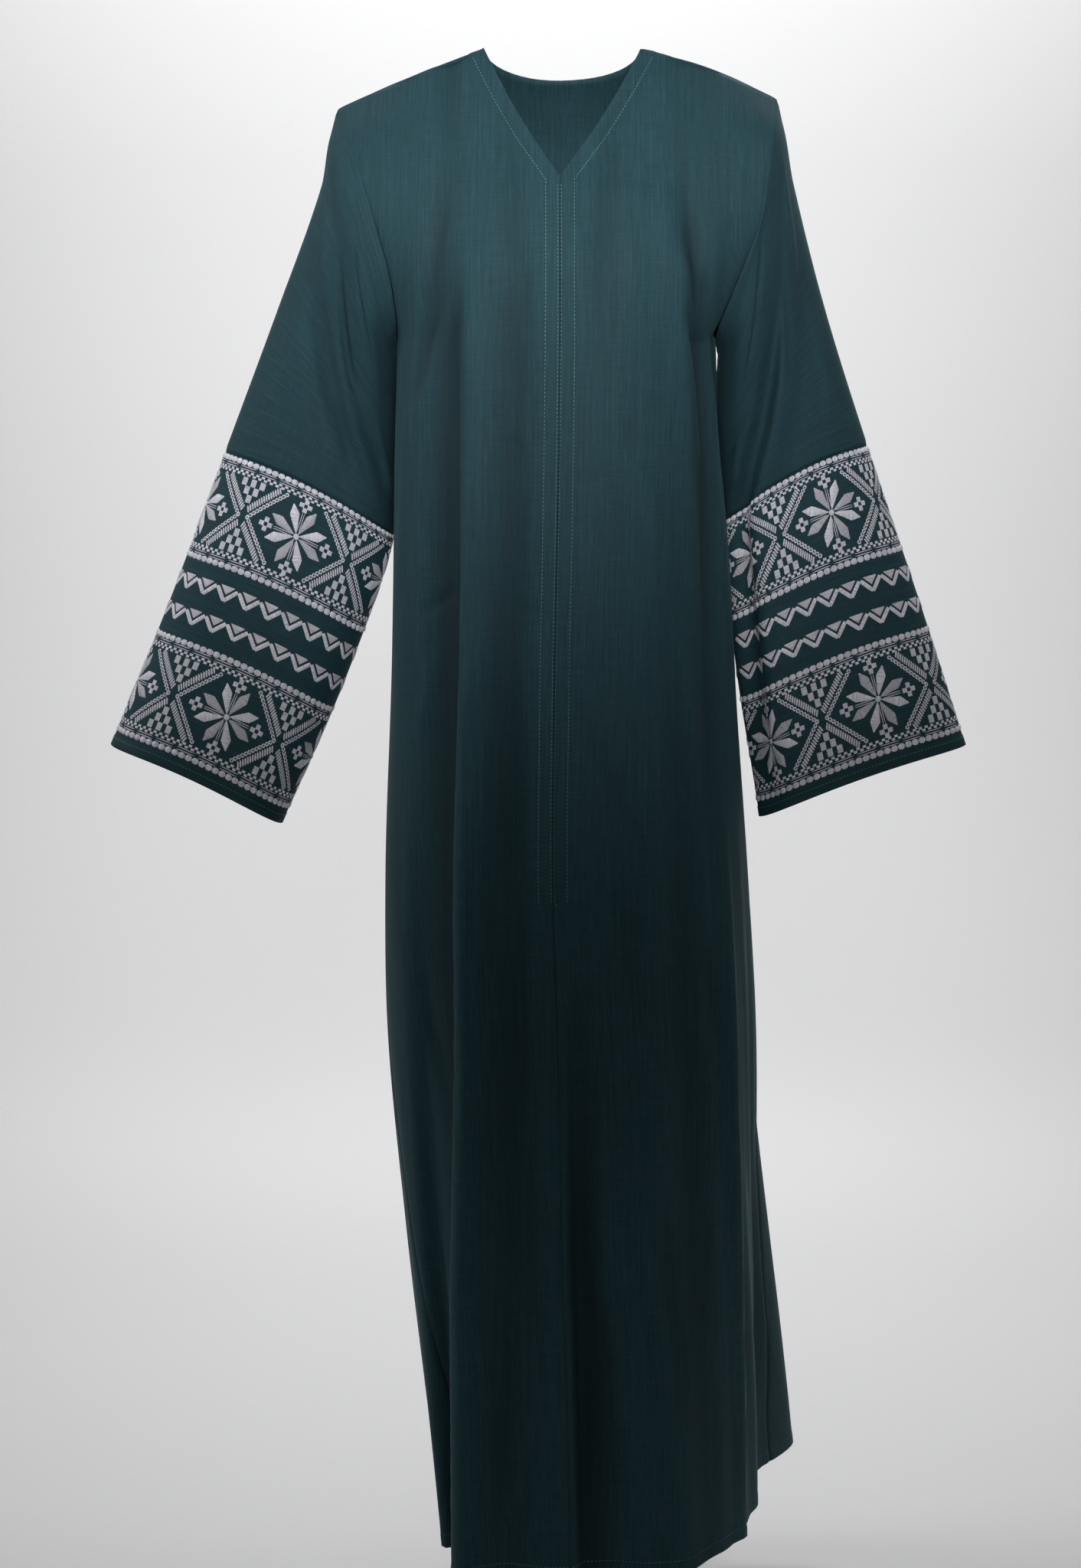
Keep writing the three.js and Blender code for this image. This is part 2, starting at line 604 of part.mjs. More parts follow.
function seamShift(net, r, c, normal) {
  const rows = net.rows;
  const lastRow = rows.length - 1;
  const lastColumn = rows[0].length - 1;
  const count = rows[0].length;
  const point = rows[r][c];
  const beside = (dc) => {
    const at = net.closed ? (c + dc + count) % count : Math.min(lastColumn, Math.max(0, c + dc));
    return rows[r][at];
  };
  const acrossRows = beside(1).clone().sub(beside(-1));
  const upRows = rows[Math.min(lastRow, r + 1)][c].clone().sub(rows[Math.max(0, r - 1)][c]);
  const shift = new THREE.Vector3();
  if (r === 0 && net.seams.includes("bottom")) {
    shift.add(stepBack(point, rows[1][c], acrossRows, normal));
  }
  if (r === lastRow && net.seams.includes("top")) {
    shift.add(stepBack(point, rows[lastRow - 1][c], acrossRows, normal));
  }
  if (!net.closed && c === 0 && net.seams.includes("start")) {
    shift.add(stepBack(point, rows[r][1], upRows, normal));
  }
  if (!net.closed && c === lastColumn && net.seams.includes("end")) {
    shift.add(stepBack(point, rows[r][lastColumn - 1], upRows, normal));
  }
  return shift;
}

// Gives a net its wall: the outer points, the inner ones behind them, and the edges closed.
function wallGeometry(net) {
  const rowCount = net.rows.length;
  const count = net.rows[0].length;
  const positions = [];
  const inner = [];
  for (let r = 0; r < rowCount; r += 1) {
    for (let c = 0; c < count; c += 1) {
      const key = placeKey(net.rows[r][c]);
      const normal = sharedNormal(key);
      const point = net.rows[r][c].clone();
      if (sharedPieces.get(key).size > 1) point.add(seamShift(net, r, c, normal));
      positions.push(point.x, point.y, point.z);
      point.addScaledVector(normal, -WALL);
      inner.push(point.x, point.y, point.z);
    }
  }
  const under = positions.length / 3;
  const at = (r, c) => r * count + (c % count);
  const faces = [];
  const quad = (a, b, c, d) => {
    if (net.turned) faces.push(a, c, b, a, d, c);
    else faces.push(a, b, c, a, c, d);
  };
  const last = net.closed ? count : count - 1;
  for (let r = 0; r < rowCount - 1; r += 1) {
    for (let c = 0; c < last; c += 1) {
      quad(at(r, c), at(r, c + 1), at(r + 1, c + 1), at(r + 1, c));
      quad(under + at(r, c), under + at(r + 1, c), under + at(r + 1, c + 1), under + at(r, c + 1));
    }
  }
  for (let c = 0; c < last; c += 1) {
    quad(at(0, c), under + at(0, c), under + at(0, c + 1), at(0, c + 1));
    const r = rowCount - 1;
    quad(at(r, c), at(r, c + 1), under + at(r, c + 1), under + at(r, c));
  }
  if (!net.closed) {
    for (let r = 0; r < rowCount - 1; r += 1) {
      quad(at(r, 0), at(r + 1, 0), under + at(r + 1, 0), under + at(r, 0));
      const c = count - 1;
      quad(at(r, c), under + at(r, c), under + at(r + 1, c), at(r + 1, c));
    }
  }
  const geometry = new THREE.BufferGeometry();
  geometry.setAttribute("position", new THREE.Float32BufferAttribute([...positions, ...inner], 3));
  geometry.setIndex(faces);
  geometry.computeVertexNormals();
  return geometry;
}

const group = new THREE.Group();
Object.entries(NETS).forEach(([name, net]) => addFaceNormals(name, net));
Object.entries(NETS).forEach(([name, net]) => {
  const colour = name.startsWith("sleeve_panel") ? PANEL_COLOUR : CLOTH_COLOUR;
  const material = new THREE.MeshStandardMaterial({
    color: colour,
    roughness: CLOTH_ROUGHNESS,
    metalness: 0,
    side: THREE.DoubleSide,
  });
  const mesh = new THREE.Mesh(wallGeometry(net), material);
  mesh.name = name;
  group.add(mesh);
});

export default group;
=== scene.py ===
# %% [markdown]
# An abaya in its worn form
#
# The garment is a long dark teal gown with a V neck, a stitched placket down the centre and two
# wide sleeves that end in deep embroidered panels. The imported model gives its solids, and this
# lesson dresses them: each solid is replaced by a thin shell of cloth on the same form, with
# finer folds, stitching, embroidery and woven materials.

import math
import random

import bmesh
import bpy
import numpy as np
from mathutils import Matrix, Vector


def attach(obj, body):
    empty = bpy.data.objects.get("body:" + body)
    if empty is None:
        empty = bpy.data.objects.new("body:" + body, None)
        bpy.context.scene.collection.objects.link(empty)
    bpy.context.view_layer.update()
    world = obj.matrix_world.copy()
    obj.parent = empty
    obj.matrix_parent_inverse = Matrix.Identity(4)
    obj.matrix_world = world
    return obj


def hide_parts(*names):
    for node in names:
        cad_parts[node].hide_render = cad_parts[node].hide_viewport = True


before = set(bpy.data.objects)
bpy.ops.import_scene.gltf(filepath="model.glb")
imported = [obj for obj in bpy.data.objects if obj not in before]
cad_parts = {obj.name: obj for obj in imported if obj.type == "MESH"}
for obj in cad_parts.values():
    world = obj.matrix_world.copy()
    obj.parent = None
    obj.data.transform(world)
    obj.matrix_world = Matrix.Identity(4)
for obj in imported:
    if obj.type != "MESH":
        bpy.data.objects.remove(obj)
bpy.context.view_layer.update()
print("solids:", sorted(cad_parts))

# %% [markdown]
# Sizes and the form of the gown
#
# A garment on a figure has no flat drawing, so its form is given by sections: the body's half
# widths and depths at nine levels, the armholes, the neck, and rings down each sleeve. They are
# written in millimetres, as a cutter would, and turned into metres when a mesh is made. "left"
# and "right" in the tables are as seen from the front, and piece names are the wearer's own.

# %% Main sizes
MM = 0.001
UNDERARM_Z = -240
HEM_Z = -1390
V_BOTTOM_Z = -92
V_ROW = 0.5
SLEEVE_LENGTH = 610
PANEL_LENGTH = 290
PANEL_START = SLEEVE_LENGTH - PANEL_LENGTH
CLOTH_THICKNESS = 1.1
FRONT_COLUMNS = 13
NECK_COLUMNS = 6


def table(names, rows):
    """A table of named columns as one dictionary for each row."""
    return [dict(zip(names.split(), row)) for row in rows]


BODY_LEVELS = table(
    "z centre left leftY right rightY front back frontRound backRound",
    [
        (-240, 0, -151, 5, 147, 5, -130, 108, 2.5, 3.2),
        (-330, -1, -154, 5, 152, 8, -134, 103, 2.4, 3.0),
        (-450, -3, -157, 5, 163, 12, -142, 112, 2.3, 2.5),
        (-560, -5, -160, 5, 170, 15, -148, 127, 2.3, 2.4),
        (-740, -6, -167, 2, 184, 20, -154, 135, 2.3, 2.3),
        (-900, -1, -166, -5, 193, 30, -160, 137, 2.3, 2.3),
        (-1090, 3, -150, -12, 196, 40, -170, 142, 2.4, 2.4),
        (-1240, 8, -133, -18, 197, 48, -180, 150, 2.6, 2.5),
        (-1390, 11, -115, -25, 197, 55, -190, 160, 2.8, 2.6),
    ],
)
SIDE_SEAMS = table(
    "z left right",
    [(-240, -90, 90), (-700, -90, 90), (-900, -80, 88), (-1240, -54, 90), (-1390, -50, 92)],
)
ARMHOLE = table(
    "up leftZ rightZ left right front back",
    [
        (0, -240, -240, -151, 147, 5, 5),
        (0.085, -234, -234, -150, 146, -22, 31),
        (0.17, -221, -221, -150, 149, -42, 48),
        (0.33, -181, -180, -155, 165, -62, 61),
        (0.5, -134, -131, -167, 183, -66, 65),
        (0.67, -92, -87, -179, 190, -59, 61),
        (0.84, -56, -49, -192, 196, -40, 44),
        (1, -27, -18, -205, 202, 4, 4),
    ],
)
CENTRE_FRONT = table("z y", [(-240, -130), (-200, -131), (-160, -126), (-125, -113), (-92, -97)])
CENTRE_BACK = table(
    "z y", [(-240, 108), (-180, 113), (-120, 110), (-60, 92), (-20, 70), (2, 54)]
)
NECK_POINT = {"left": -69, "right": 75, "y": -8, "z": 26}
V_CURVE = 4
CUT_LIMIT = 0.7
SHOULDER_RISE = {"left": 2, "right": 5}
TOP_EDGE_PULL = {"front": 2, "back": 4}
SLEEVE_NAMES = "along outerX outerZ innerX innerZ y deep rise"
SLEEVE_RINGS = {
    "left": table(
        SLEEVE_NAMES,
        [
            (24, -212, -53, -159, -250, 9, 70, 0),
            (60, -221, -97, -162, -272, 16, 67, 2),
            (175, -265, -205, -157, -345, 44, 58, 7),
            (320, -320, -344, -158, -424, 50, 55, 12),
            (465, -374, -484, -205, -561, 32, 55, 12),
            (610, -431, -622, -267, -700, 8, 57, 13),
        ],
    ),
    "right": table(
        SLEEVE_NAMES,
        [
            (24, 209, -48, 156, -252, 9, 70, 0),
            (60, 218, -93, 158, -276, 16, 67, 2),
            (175, 252, -206, 155, -345, 44, 58, 8),
            (320, 297, -338, 158, -412, 52, 57, 15),
            (465, 347, -481, 173, -552, 36, 50, 13),
            (610, 393, -623, 195, -694, 8, 42, 10),
        ],
    ),
}
print("tables:", len(BODY_LEVELS), "body levels and", len(ARMHOLE), "armhole points")

# %% [markdown]
# The large folds
#
# Cloth that hangs from the shoulders falls in long folds that deepen towards the hem. Each fold
# is one row: where it starts, its place round the body in degrees from the centre front, its
# depth in millimetres at half way and at the hem, and its half width. A lean pushes the crest
# sideways, so that one flank turns under and makes the sharp edge that a real fold shows.

# %% Large folds
BODY_FOLDS = table(
    "top topAt midAt hemAt mid hem half lean",
    [
        (-230, -26, -26, -35, 11, 26, 34, -0.95),
        (-330, -44, -45, -52, -9, -27, 30, 0),
        (-880, -66, -66, -66, 2, 9, 24, 0),
        (-420, -97, -97, -100, -8, -6, 22, 0),
        (-400, -114, -114, -120, 9, 16, 34, 0),
        (-640, 56, 59, 78, 4, 7, 30, 0),
        (-560, 76, 78, 92, -5, -10, 28, 0),
        (-640, 100, 102, 105, 7, 70, 62, 0),
        (-930, 7, 7, 9, 0, -11, 34, 0),
        (-800, 28, 28, 31, 1, 8, 42, 0),
        (-380, -141, -142, -144, -8, -20, 38, 0),
        (-330, -160, -163, -166, 8, 20, 40, 0.4),
        (-420, 178, 178, 176, -9, -22, 40, 0),
        (-300, 158, 158, 158, 10, 24, 42, -0.4),
        (-460, 138, 138, 138, -7, -22, 38, 0),
    ],
)
CHEST_FOLDS = table(
    "top bottom topAt bottomAt deep half",
    [(-110, -560, 42, 78, 6, 26), (-110, -520, 64, 106, -8, 26), (-120, -480, -44, -72, 4, 24)],
)
SLEEVE_FOLD_NAMES = "start end fromAt midAt toAt deep half lean"
SLEEVE_FOLDS = {
    "left": table(
        SLEEVE_FOLD_NAMES,
        [
            (40, 320, 48, 106, 150, 8, 26, -0.8),
            (60, 320, 22, 76, 116, -7, 28, 0),
            (330, 760, 262, 256, 250, 8, 34, 0),
            (120, 760, 300, 298, 296, -9, 34, 0),
        ],
    ),
    "right": table(
        SLEEVE_FOLD_NAMES,
        [
            (30, 640, 40, 118, 136, 11, 27, 0.9),
            (60, 620, 68, 146, 160, -12, 28, 0),
            (250, 760, 262, 262, 262, 8, 34, 0),
            (160, 760, 300, 300, 300, -8, 34, 0),
        ],
    ),
}
print("large folds:", len(BODY_FOLDS) + len(CHEST_FOLDS), "on the body")

# %% [markdown]
# Reading a table smoothly
#
# Between two rows of a table the form should bend, not break. A Hermite curve passes through
# every row and takes its slope from the rows on both sides. Written with numpy it reads a whole
# row of cloth at once, which keeps the script quick.

# %% Curves through the tables


def row_slopes(at, value):
    """The slope at each row of a table, from the rows on both sides of it."""
    before = np.maximum(np.arange(len(at)) - 1, 0)
    after = np.minimum(np.arange(len(at)) + 1, len(at) - 1)
    span = (at[after] - at[before]).reshape(-1, *[1] * (value.ndim - 1))
    return (value[after] - value[before]) / span


def hermite(at, value, slope, where):
    """The value at a place between the rows, on a curve that passes through all of them."""
    held = np.clip(where, at[0], at[-1])
    i = np.clip(np.searchsorted(at, held) - 1, 0, len(at) - 2)
    span = at[i + 1] - at[i]
    t = (held - at[i]) / span
    start = value[i] * (1 + 2 * t) * (1 - t) ** 2 + slope[i] * span * t * (1 - t) ** 2
    end = value[i + 1] * t * t * (3 - 2 * t) + slope[i + 1] * span * t * t * (t - 1)
    return start + end


def track(rows, key, name):
    """A smooth function of the key column that passes through one column of a table."""
    ordered = sorted(rows, key=lambda row: row[key])
    at = np.array([row[key] for row in ordered], float)
    value = np.array([row[name] for row in ordered], float)
    slope = row_slopes(at, value)
    return lambda where: hermite(at, value, slope, where)


def tracks(rows, key):
    """A smooth function for each column of a table."""
    return {name: track(rows, key, name) for name in rows[0] if name != key}


def blend(a, b, share):
    return a + (b - a) * share


def ease(t):
    held = np.clip(t, 0, 1)
    return held * held * (3 - 2 * held)


def bump(distance, half):
    """1 on the line, falling smoothly to 0 at half away from it."""
    k = np.clip(np.abs(distance) / half, 0, 1)
    return np.cos(k * np.pi / 2) ** 2


def path_lengths(line):
    """The distance of each point of a line from its start."""
    return np.concatenate([[0], np.cumsum(np.linalg.norm(np.diff(line, axis=0), axis=1))])


BODY = tracks(BODY_LEVELS, "z")
SEAMS = tracks(SIDE_SEAMS, "z")
HOLE = tracks(ARMHOLE, "up")
FRONT_Y = track(CENTRE_FRONT, "z", "y")
BACK_Y = track(CENTRE_BACK, "z", "y")
WAIST_Z = -450
waist = [round(float(BODY[part](WAIST_Z))) for part in ("front", "back")]
print("waist: front at", waist[0], "mm, back at", waist[1])

# %% [markdown]
# The body below the arms
#
# Each level is a closed oval made of four quarters with their own exponents: 2 gives an ellipse
# and more gives a squarer turn, as over the shoulder blades. The folds push its points out or in
# by their distance along the cloth, so a fold keeps its width wherever it lies.

# %% The body's section and its folds
RING_ANGLES = np.linspace(-180, 540, 721)
WHOLE_TURN = 360


def body_section(angle, z):
    """The smooth section: x and y for angles in degrees from the centre front."""
    turned = (np.asarray(angle, float) + 540) % 360 - 180
    left = turned < 0
    front = np.abs(turned) < 90
    power = 2 / np.where(front, BODY["frontRound"](z), BODY["backRound"](z))
    sine = np.abs(np.sin(np.radians(turned))) ** power
    cosine = np.abs(np.cos(np.radians(turned))) ** power
    side_x = np.where(left, BODY["left"](z), BODY["right"](z))
    side_y = np.where(left, BODY["leftY"](z), BODY["rightY"](z))
    face_y = np.where(front, BODY["front"](z), BODY["back"](z))
    return blend(BODY["centre"](z), side_x, sine), blend(side_y, face_y, cosine)


def outward(x, y, z):
    """The level direction in which a fold moves the cloth, and the direction round the body."""
    low = np.minimum(z, UNDERARM_Z)
    away = np.stack([x / BODY["right"](low) ** 2, y / BODY["back"](low) ** 2], axis=-1)
    away /= np.linalg.norm(away, axis=-1, keepdims=True)
    return away, np.stack([-away[..., 1], away[..., 0]], axis=-1)


def body_folds_at(z):
    """Every fold's angle, depth, half width and lean at a level or at many levels."""
    z = np.asarray(z, float)
    found = []
    for fold in BODY_FOLDS:
        down = (fold["top"] - z) / (fold["top"] - HEM_Z)
        upper = down < 0.5
        t = np.where(upper, down * 2, down * 2 - 1)
        high = blend(fold["topAt"], fold["midAt"], t)
        angle = np.where(upper, high, blend(fold["midAt"], fold["hemAt"], t))
        deep = np.where(upper, fold["mid"] * ease(t), blend(fold["mid"], fold["hem"], t))
        deep = np.where(down <= 0, 0, deep)
        found.append((angle, deep, fold["half"], fold["lean"], fold["topAt"]))
    for fold in CHEST_FOLDS:
        down = np.clip((fold["top"] - z) / (fold["top"] - fold["bottom"]), 0, 1)
        angle = blend(fold["topAt"], fold["bottomAt"], down)
        found.append((angle, fold["deep"] * np.sin(np.pi * down), fold["half"], 0, fold["topAt"]))
    return found


def skirt_row(z, start_angle, end_angle, shares):
    """One level of the skirt between two angles, at shares of the way along the cloth."""
    ring_x, ring_y = body_section(RING_ANGLES, z)
    steps = np.hypot(np.diff(ring_x), np.diff(ring_y))
    lengths = np.concatenate([[0], np.cumsum(steps)])
    girth = lengths[WHOLE_TURN]
    start, end = np.interp([start_angle, end_angle], RING_ANGLES, lengths)
    length = blend(start, end, shares)
    x, y = body_section(np.interp(length, lengths, RING_ANGLES), z)
    away, round_it = outward(x, y, z)
    moved = np.stack([x, y], axis=-1)
    for angle, deep, half, lean, _ in body_folds_at(z):
        way = length - np.interp(angle, RING_ANGLES, lengths)
        way -= girth * np.round(way / girth)
        height = (deep * bump(way, half))[:, None]
        moved += away * height + round_it * height * lean
    return np.column_stack([moved, np.full(len(moved), z)])


KNEE_Z = -900
row = skirt_row(KNEE_Z, -180, 180, np.linspace(0, 1, 200))
print("girth at the knee:", round(float(path_lengths(row)[-1])), "mm")

# %% [markdown]
# The body above the arms
#
# From the underarm up, half a row runs from the armhole to the centre front, the V or the centre
# back. A low row follows the oval where the armhole cuts it, and the highest one follows the
# shoulder seam, and the back's also the neck. Rows between them blend the two.

# %% Yoke rows
FAR_OFF = -9999.0
FINE_STEPS = 241
FOLD_EDGE = 0.2


def armhole_point(side, face, up):
    return np.array([HOLE[side](up), HOLE[face](up), HOLE[side + "Z"](up)], float)


def middle_point(side, face, up):
    """The middle end of a yoke row: on the centre front or the V, or on the centre back."""
    if face == "back":
        z = blend(UNDERARM_Z, CENTRE_BACK[-1]["z"], up)
        return np.array([3 * up, BACK_Y(z), z], float)
    if up <= V_ROW:
        z = blend(UNDERARM_Z, V_BOTTOM_Z, up / V_ROW)
        return np.array([0, FRONT_Y(z), z], float)
    t = (up - V_ROW) / (1 - V_ROW)
    foot = CENTRE_FRONT[-1]
    convex = math.sin(math.pi * t) * V_CURVE
    x = NECK_POINT[side] * t + math.copysign(convex, NECK_POINT[side])
    y = blend(foot["y"], NECK_POINT["y"], t**0.9)
    return np.array([x, y, blend(foot["z"], NECK_POINT["z"], t)], float)


def top_edge(side, face, t):
    """The shoulder seam from its tip, and on the back the neck's curve after it."""
    tip = armhole_point(side, face, 1.0)
    neck = np.array([NECK_POINT[side], NECK_POINT["y"], NECK_POINT["z"]], float)
    share = FRONT_COLUMNS / (FRONT_COLUMNS + NECK_COLUMNS / 2) if face == "back" else 1.0
    k = np.clip(t / share, 0, 1)[:, None]
    seam = blend(tip, neck, k)
    seam[:, 2] += SHOULDER_RISE[side] * np.sin(np.pi * k[:, 0])
    if face == "front":
        return seam
    turn = np.radians(np.clip((t - share) / (1 - share), 0, 1) * 90)
    middle = middle_point(side, face, 1.0)
    curve = np.column_stack(
        [
            blend(middle[0], neck[0], np.cos(turn)),
            blend(neck[1], middle[1], np.sin(turn)),
            blend(neck[2], middle[2], np.sin(turn)),
        ]
    )
    return np.where((t <= share)[:, None], seam, curve)


def yoke_points(side, face, up, t):
    arm = armhole_point(side, face, up)
    middle = middle_point(side, face, up)
    top = top_edge(side, face, t)
    tip, top_middle = top_edge(side, face, np.array([0.0, 1.0]))
    power = 2 / BODY_LEVELS[0][face + "Round"]
    side_y = ARMHOLE[0]["front"]
    cut = min(CUT_LIMIT, max(0.0, (arm[1] - side_y) / (middle[1] - side_y)))
    start = math.acos(cut ** (1 / power))
    low_x = 1 - np.sin(start * (1 - t)) ** power / math.sin(start) ** power
    low_y = (np.cos(start * (1 - t)) ** power - cut) / (1 - cut)
    low = np.column_stack([low_x, low_y, low_x])
    high = (top - tip) / (top_middle - tip)
    pull = up ** TOP_EDGE_PULL[face]
    return blend(arm, middle, blend(low, high, pull))


def fold_length(side, face, angle, at_top):
    """How far a fold lies from the middle on the section at the underarm, or far off."""
    sign = -1 if side == "left" else 1
    front = face == "front"
    same = np.sign(at_top) == sign and abs(at_top) < 100 if front else at_top * sign > 80
    if not same:
        return np.full(np.shape(angle), FAR_OFF)
    steps = np.arange(91)
    x, y = body_section(sign * steps if front else sign * (180 - steps), UNDERARM_Z)
    lengths = np.concatenate([[0], np.cumsum(np.hypot(np.diff(x), np.diff(y)))])
    way = angle * sign if front else 180 - angle * sign
    return np.interp(np.clip(way, 0, 90), steps, lengths)


def yoke_row(side, face, up, shares):
    """Half a row above the arms, from the armhole to the middle."""
    fine = np.linspace(0, 1, FINE_STEPS)
    line = yoke_points(side, face, up, fine)
    lengths = path_lengths(line)
    whole = lengths[-1]
    even = np.interp(shares * whole, lengths, fine)
    t = blend(even, shares, up ** TOP_EDGE_PULL[face])
    points = yoke_points(side, face, up, t)
    length = np.interp(t, fine, lengths)
    edges = ease(t / FOLD_EDGE) * ease((1 - t) / FOLD_EDGE)
    strength = blend(1, edges, ease(up / FOLD_EDGE))
    away, round_it = outward(points[:, 0], points[:, 1], points[:, 2])
    moved = points.copy()
    for angle, deep, half, lean, at_top in body_folds_at(points[:, 2]):
        way = whole - length - fold_length(side, face, angle, at_top)
        height = (deep * strength * bump(way, half))[:, None]
        moved[:, :2] += away * height + round_it * height * lean
    return moved


shoulder = yoke_row("left", "front", 1.0, np.linspace(0, 1, 20))
print("shoulder seam from", np.round(shoulder[0]).tolist(), "to", np.round(shoulder[-1]).tolist())

# %% [markdown]
# The sleeves
#
# A sleeve is a tube: its first ring is the armhole itself, and the rings down it are flattened
# ovals that swing out and forward as a bent arm carries them. Points go round each ring at even
# steps along the cloth after the folds are pressed in, so the weave and the embroidery follow the
# cloth into every fold.

# %% Sleeve rings
RING_STEPS = 720


def sleeve_ring(side, along):
    """A folded ring, evenly spaced round the cloth from the top of the sleeve over the front."""
    a = np.arange(RING_STEPS) / RING_STEPS
    up = np.abs(1 - 2 * a)
    face = np.where(a <= 0.5, HOLE["front"](up), HOLE["back"](up))
    hole = np.column_stack([HOLE[side](up), face, HOLE[side + "Z"](up)])
    turn = 2 * np.pi * a
    half = (1 + np.cos(turn)) / 2
    stations = [hole]
    for ring in SLEEVE_RINGS[side]:
        x = blend(ring["innerX"], ring["outerX"], half)
        z = blend(ring["innerZ"], ring["outerZ"], half)
        z = z + ring["rise"] * np.maximum(0, np.sin(turn)) ** 2
        stations.append(np.column_stack([x, ring["y"] - ring["deep"] * np.sin(turn), z]))
    at = np.array([0] + [ring["along"] for ring in SLEEVE_RINGS[side]], float)
    value = np.array(stations)
    return hermite(at, value, row_slopes(at, value), along)


def press_sleeve_folds(side, along, points):
    closed = np.vstack([points, points[:1]])
    lengths = path_lengths(closed)
    whole = lengths[-1]
    round_it = np.roll(points, -1, axis=0) - np.roll(points, 1, axis=0)
    round_it /= np.linalg.norm(round_it, axis=1, keepdims=True)
    away = points - points.mean(axis=0)
    away -= round_it * (away * round_it).sum(axis=1, keepdims=True)
    away /= np.linalg.norm(away, axis=1, keepdims=True)
    moved = points.copy()
    degrees = np.linspace(0, 360, len(closed))
    for fold in SLEEVE_FOLDS[side]:
        down = (along - fold["start"]) / (fold["end"] - fold["start"])
        if not 0 < down < 1:
            continue
        upper = down < 0.5
        t = down * 2 if upper else down * 2 - 1
        ends = ("fromAt", "midAt") if upper else ("midAt", "toAt")
        at = np.interp(blend(fold[ends[0]], fold[ends[1]], t), degrees, lengths)
        way = lengths[:-1] - at
        way -= whole * np.round(way / whole)
        height = (fold["deep"] * math.sin(math.pi * down) * bump(way, fold["half"]))[:, None]
        moved += away * height + round_it * height * fold["lean"]
    return moved


def even_ring(points, columns):
    """The same closed ring with its points at even steps along it, its first point kept."""
    closed = np.vstack([points, points[:1]])
    lengths = path_lengths(closed)
    wanted = np.linspace(0, lengths[-1], columns + 1)
    return np.column_stack([np.interp(wanted, lengths, closed[:, k]) for k in range(3)])


def sleeve_row(side, along, columns):
    return even_ring(press_sleeve_folds(side, along, sleeve_ring(side, along)), columns)


cuff = sleeve_row("left", SLEEVE_LENGTH, 200)
print("cuff girth:", round(float(path_lengths(cuff)[-1])), "mm")

# %% [markdown]
# From rows to cloth
#
# A piece of cloth starts as Blender's own grid, made by `bmesh.ops.create_grid`, and each of its
# vertices is then moved to its place on the net of rows. Its UV map is in metres along the
# cloth, so that threads and slubs keep their real size in every fold. A Solidify modifier gives
# the cloth its thickness, inwards.

# %% Cloth helpers


def run_lengths(points):
    """Distances along each row of a net, in millimetres."""
    steps = np.linalg.norm(np.diff(points, axis=1), axis=2)
    return np.concatenate([np.zeros((len(points), 1)), np.cumsum(steps, axis=1)], axis=1)


def net_normals(points, closed):
    """Outward directions of a net with rows going up and columns going right, from outside."""
    if closed:
        ring = points[:, :-1]
        across = np.roll(ring, -1, axis=1) - np.roll(ring, 1, axis=1)
        across = np.concatenate([across, across[:, :1]], axis=1)
    else:
        across = np.gradient(points, axis=1)
    up = np.gradient(points, axis=0)
    normal = np.cross(across, up)
    return normal / np.maximum(np.linalg.norm(normal, axis=2, keepdims=True), 1e-9)


class Cloth:
    """A net of points with its distances along the cloth, and the directions out of it."""

    def __init__(self, points, across, down, closed=False, outside=1):
        self.points = points
        self.across = across
        self.warp = across
        self.down = down
        self.closed = closed
        self.outside = outside
        self.normals = net_normals(points, closed) * outside
        self.folds = np.zeros(points.shape[:2])

    def raise_by(self, height, reach=0):
        """Lifts the net along its normals, which are first averaged over some rows."""
        way = self.normals
        if reach:
            way = np.stack([soften(way[..., axis], reach) for axis in range(3)], axis=-1)
            way = way / np.linalg.norm(way, axis=2, keepdims=True)
        self.points = self.points + way * height[..., None]
        self.normals = net_normals(self.points, self.closed) * self.outside


def grid_object(name, cloth, material, cut_across=False):
    """Turns a net into a mesh object at the origin, with its UV map in metres."""
    rows, columns = cloth.points.shape[:2]
    mesh = bmesh.new()
    uv_layer = mesh.loops.layers.uv.new("cloth")
    bmesh.ops.create_grid(
        mesh, x_segments=columns - 1, y_segments=rows - 1, size=1, calc_uvs=False
    )
    mesh.verts.ensure_lookup_table()
    flat = cloth.points.reshape(-1, 3) * MM
    ways = [cloth.down, cloth.warp] if cut_across else [cloth.warp, cloth.down]
    uv = np.stack(ways, axis=-1).reshape(-1, 2) * MM
    for index, vert in enumerate(mesh.verts):
        vert.co = flat[index]
    for face in mesh.faces:
        face.smooth = True
        for loop in face.loops:
            loop[uv_layer].uv = uv[loop.vert.index]
    if cloth.outside < 0:
        bmesh.ops.reverse_faces(mesh, faces=mesh.faces)
    if cloth.closed:
        bmesh.ops.remove_doubles(mesh, verts=mesh.verts, dist=0.00001)
    data = bpy.data.meshes.new(name)
    mesh.to_mesh(data)
    mesh.free()
    depth = cloth.folds[:, :-1] if cloth.closed else cloth.folds
    folds = data.attributes.new("folds", "FLOAT", "POINT")
    folds.data.foreach_set("value", depth.ravel().astype(np.float32))
    piece = bpy.data.objects.new(name, data)
    bpy.context.scene.collection.objects.link(piece)
    solid = piece.modifiers.new("thickness", "SOLIDIFY")
    solid.thickness = CLOTH_THICKNESS * MM
    solid.offset = -1
    piece.data.materials.append(material)
    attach(piece, "root")
    print(name, "faces:", len(data.polygons))
    return piece


# %% Distances on the cloth


def column_lengths(points, row):
    """Distances along each column, in millimetres, counted up from one row."""
    steps = np.linalg.norm(np.diff(points, axis=0), axis=2)
    lengths = np.concatenate([np.zeros((1, points.shape[1])), np.cumsum(steps, axis=0)])
    return lengths - lengths[row]


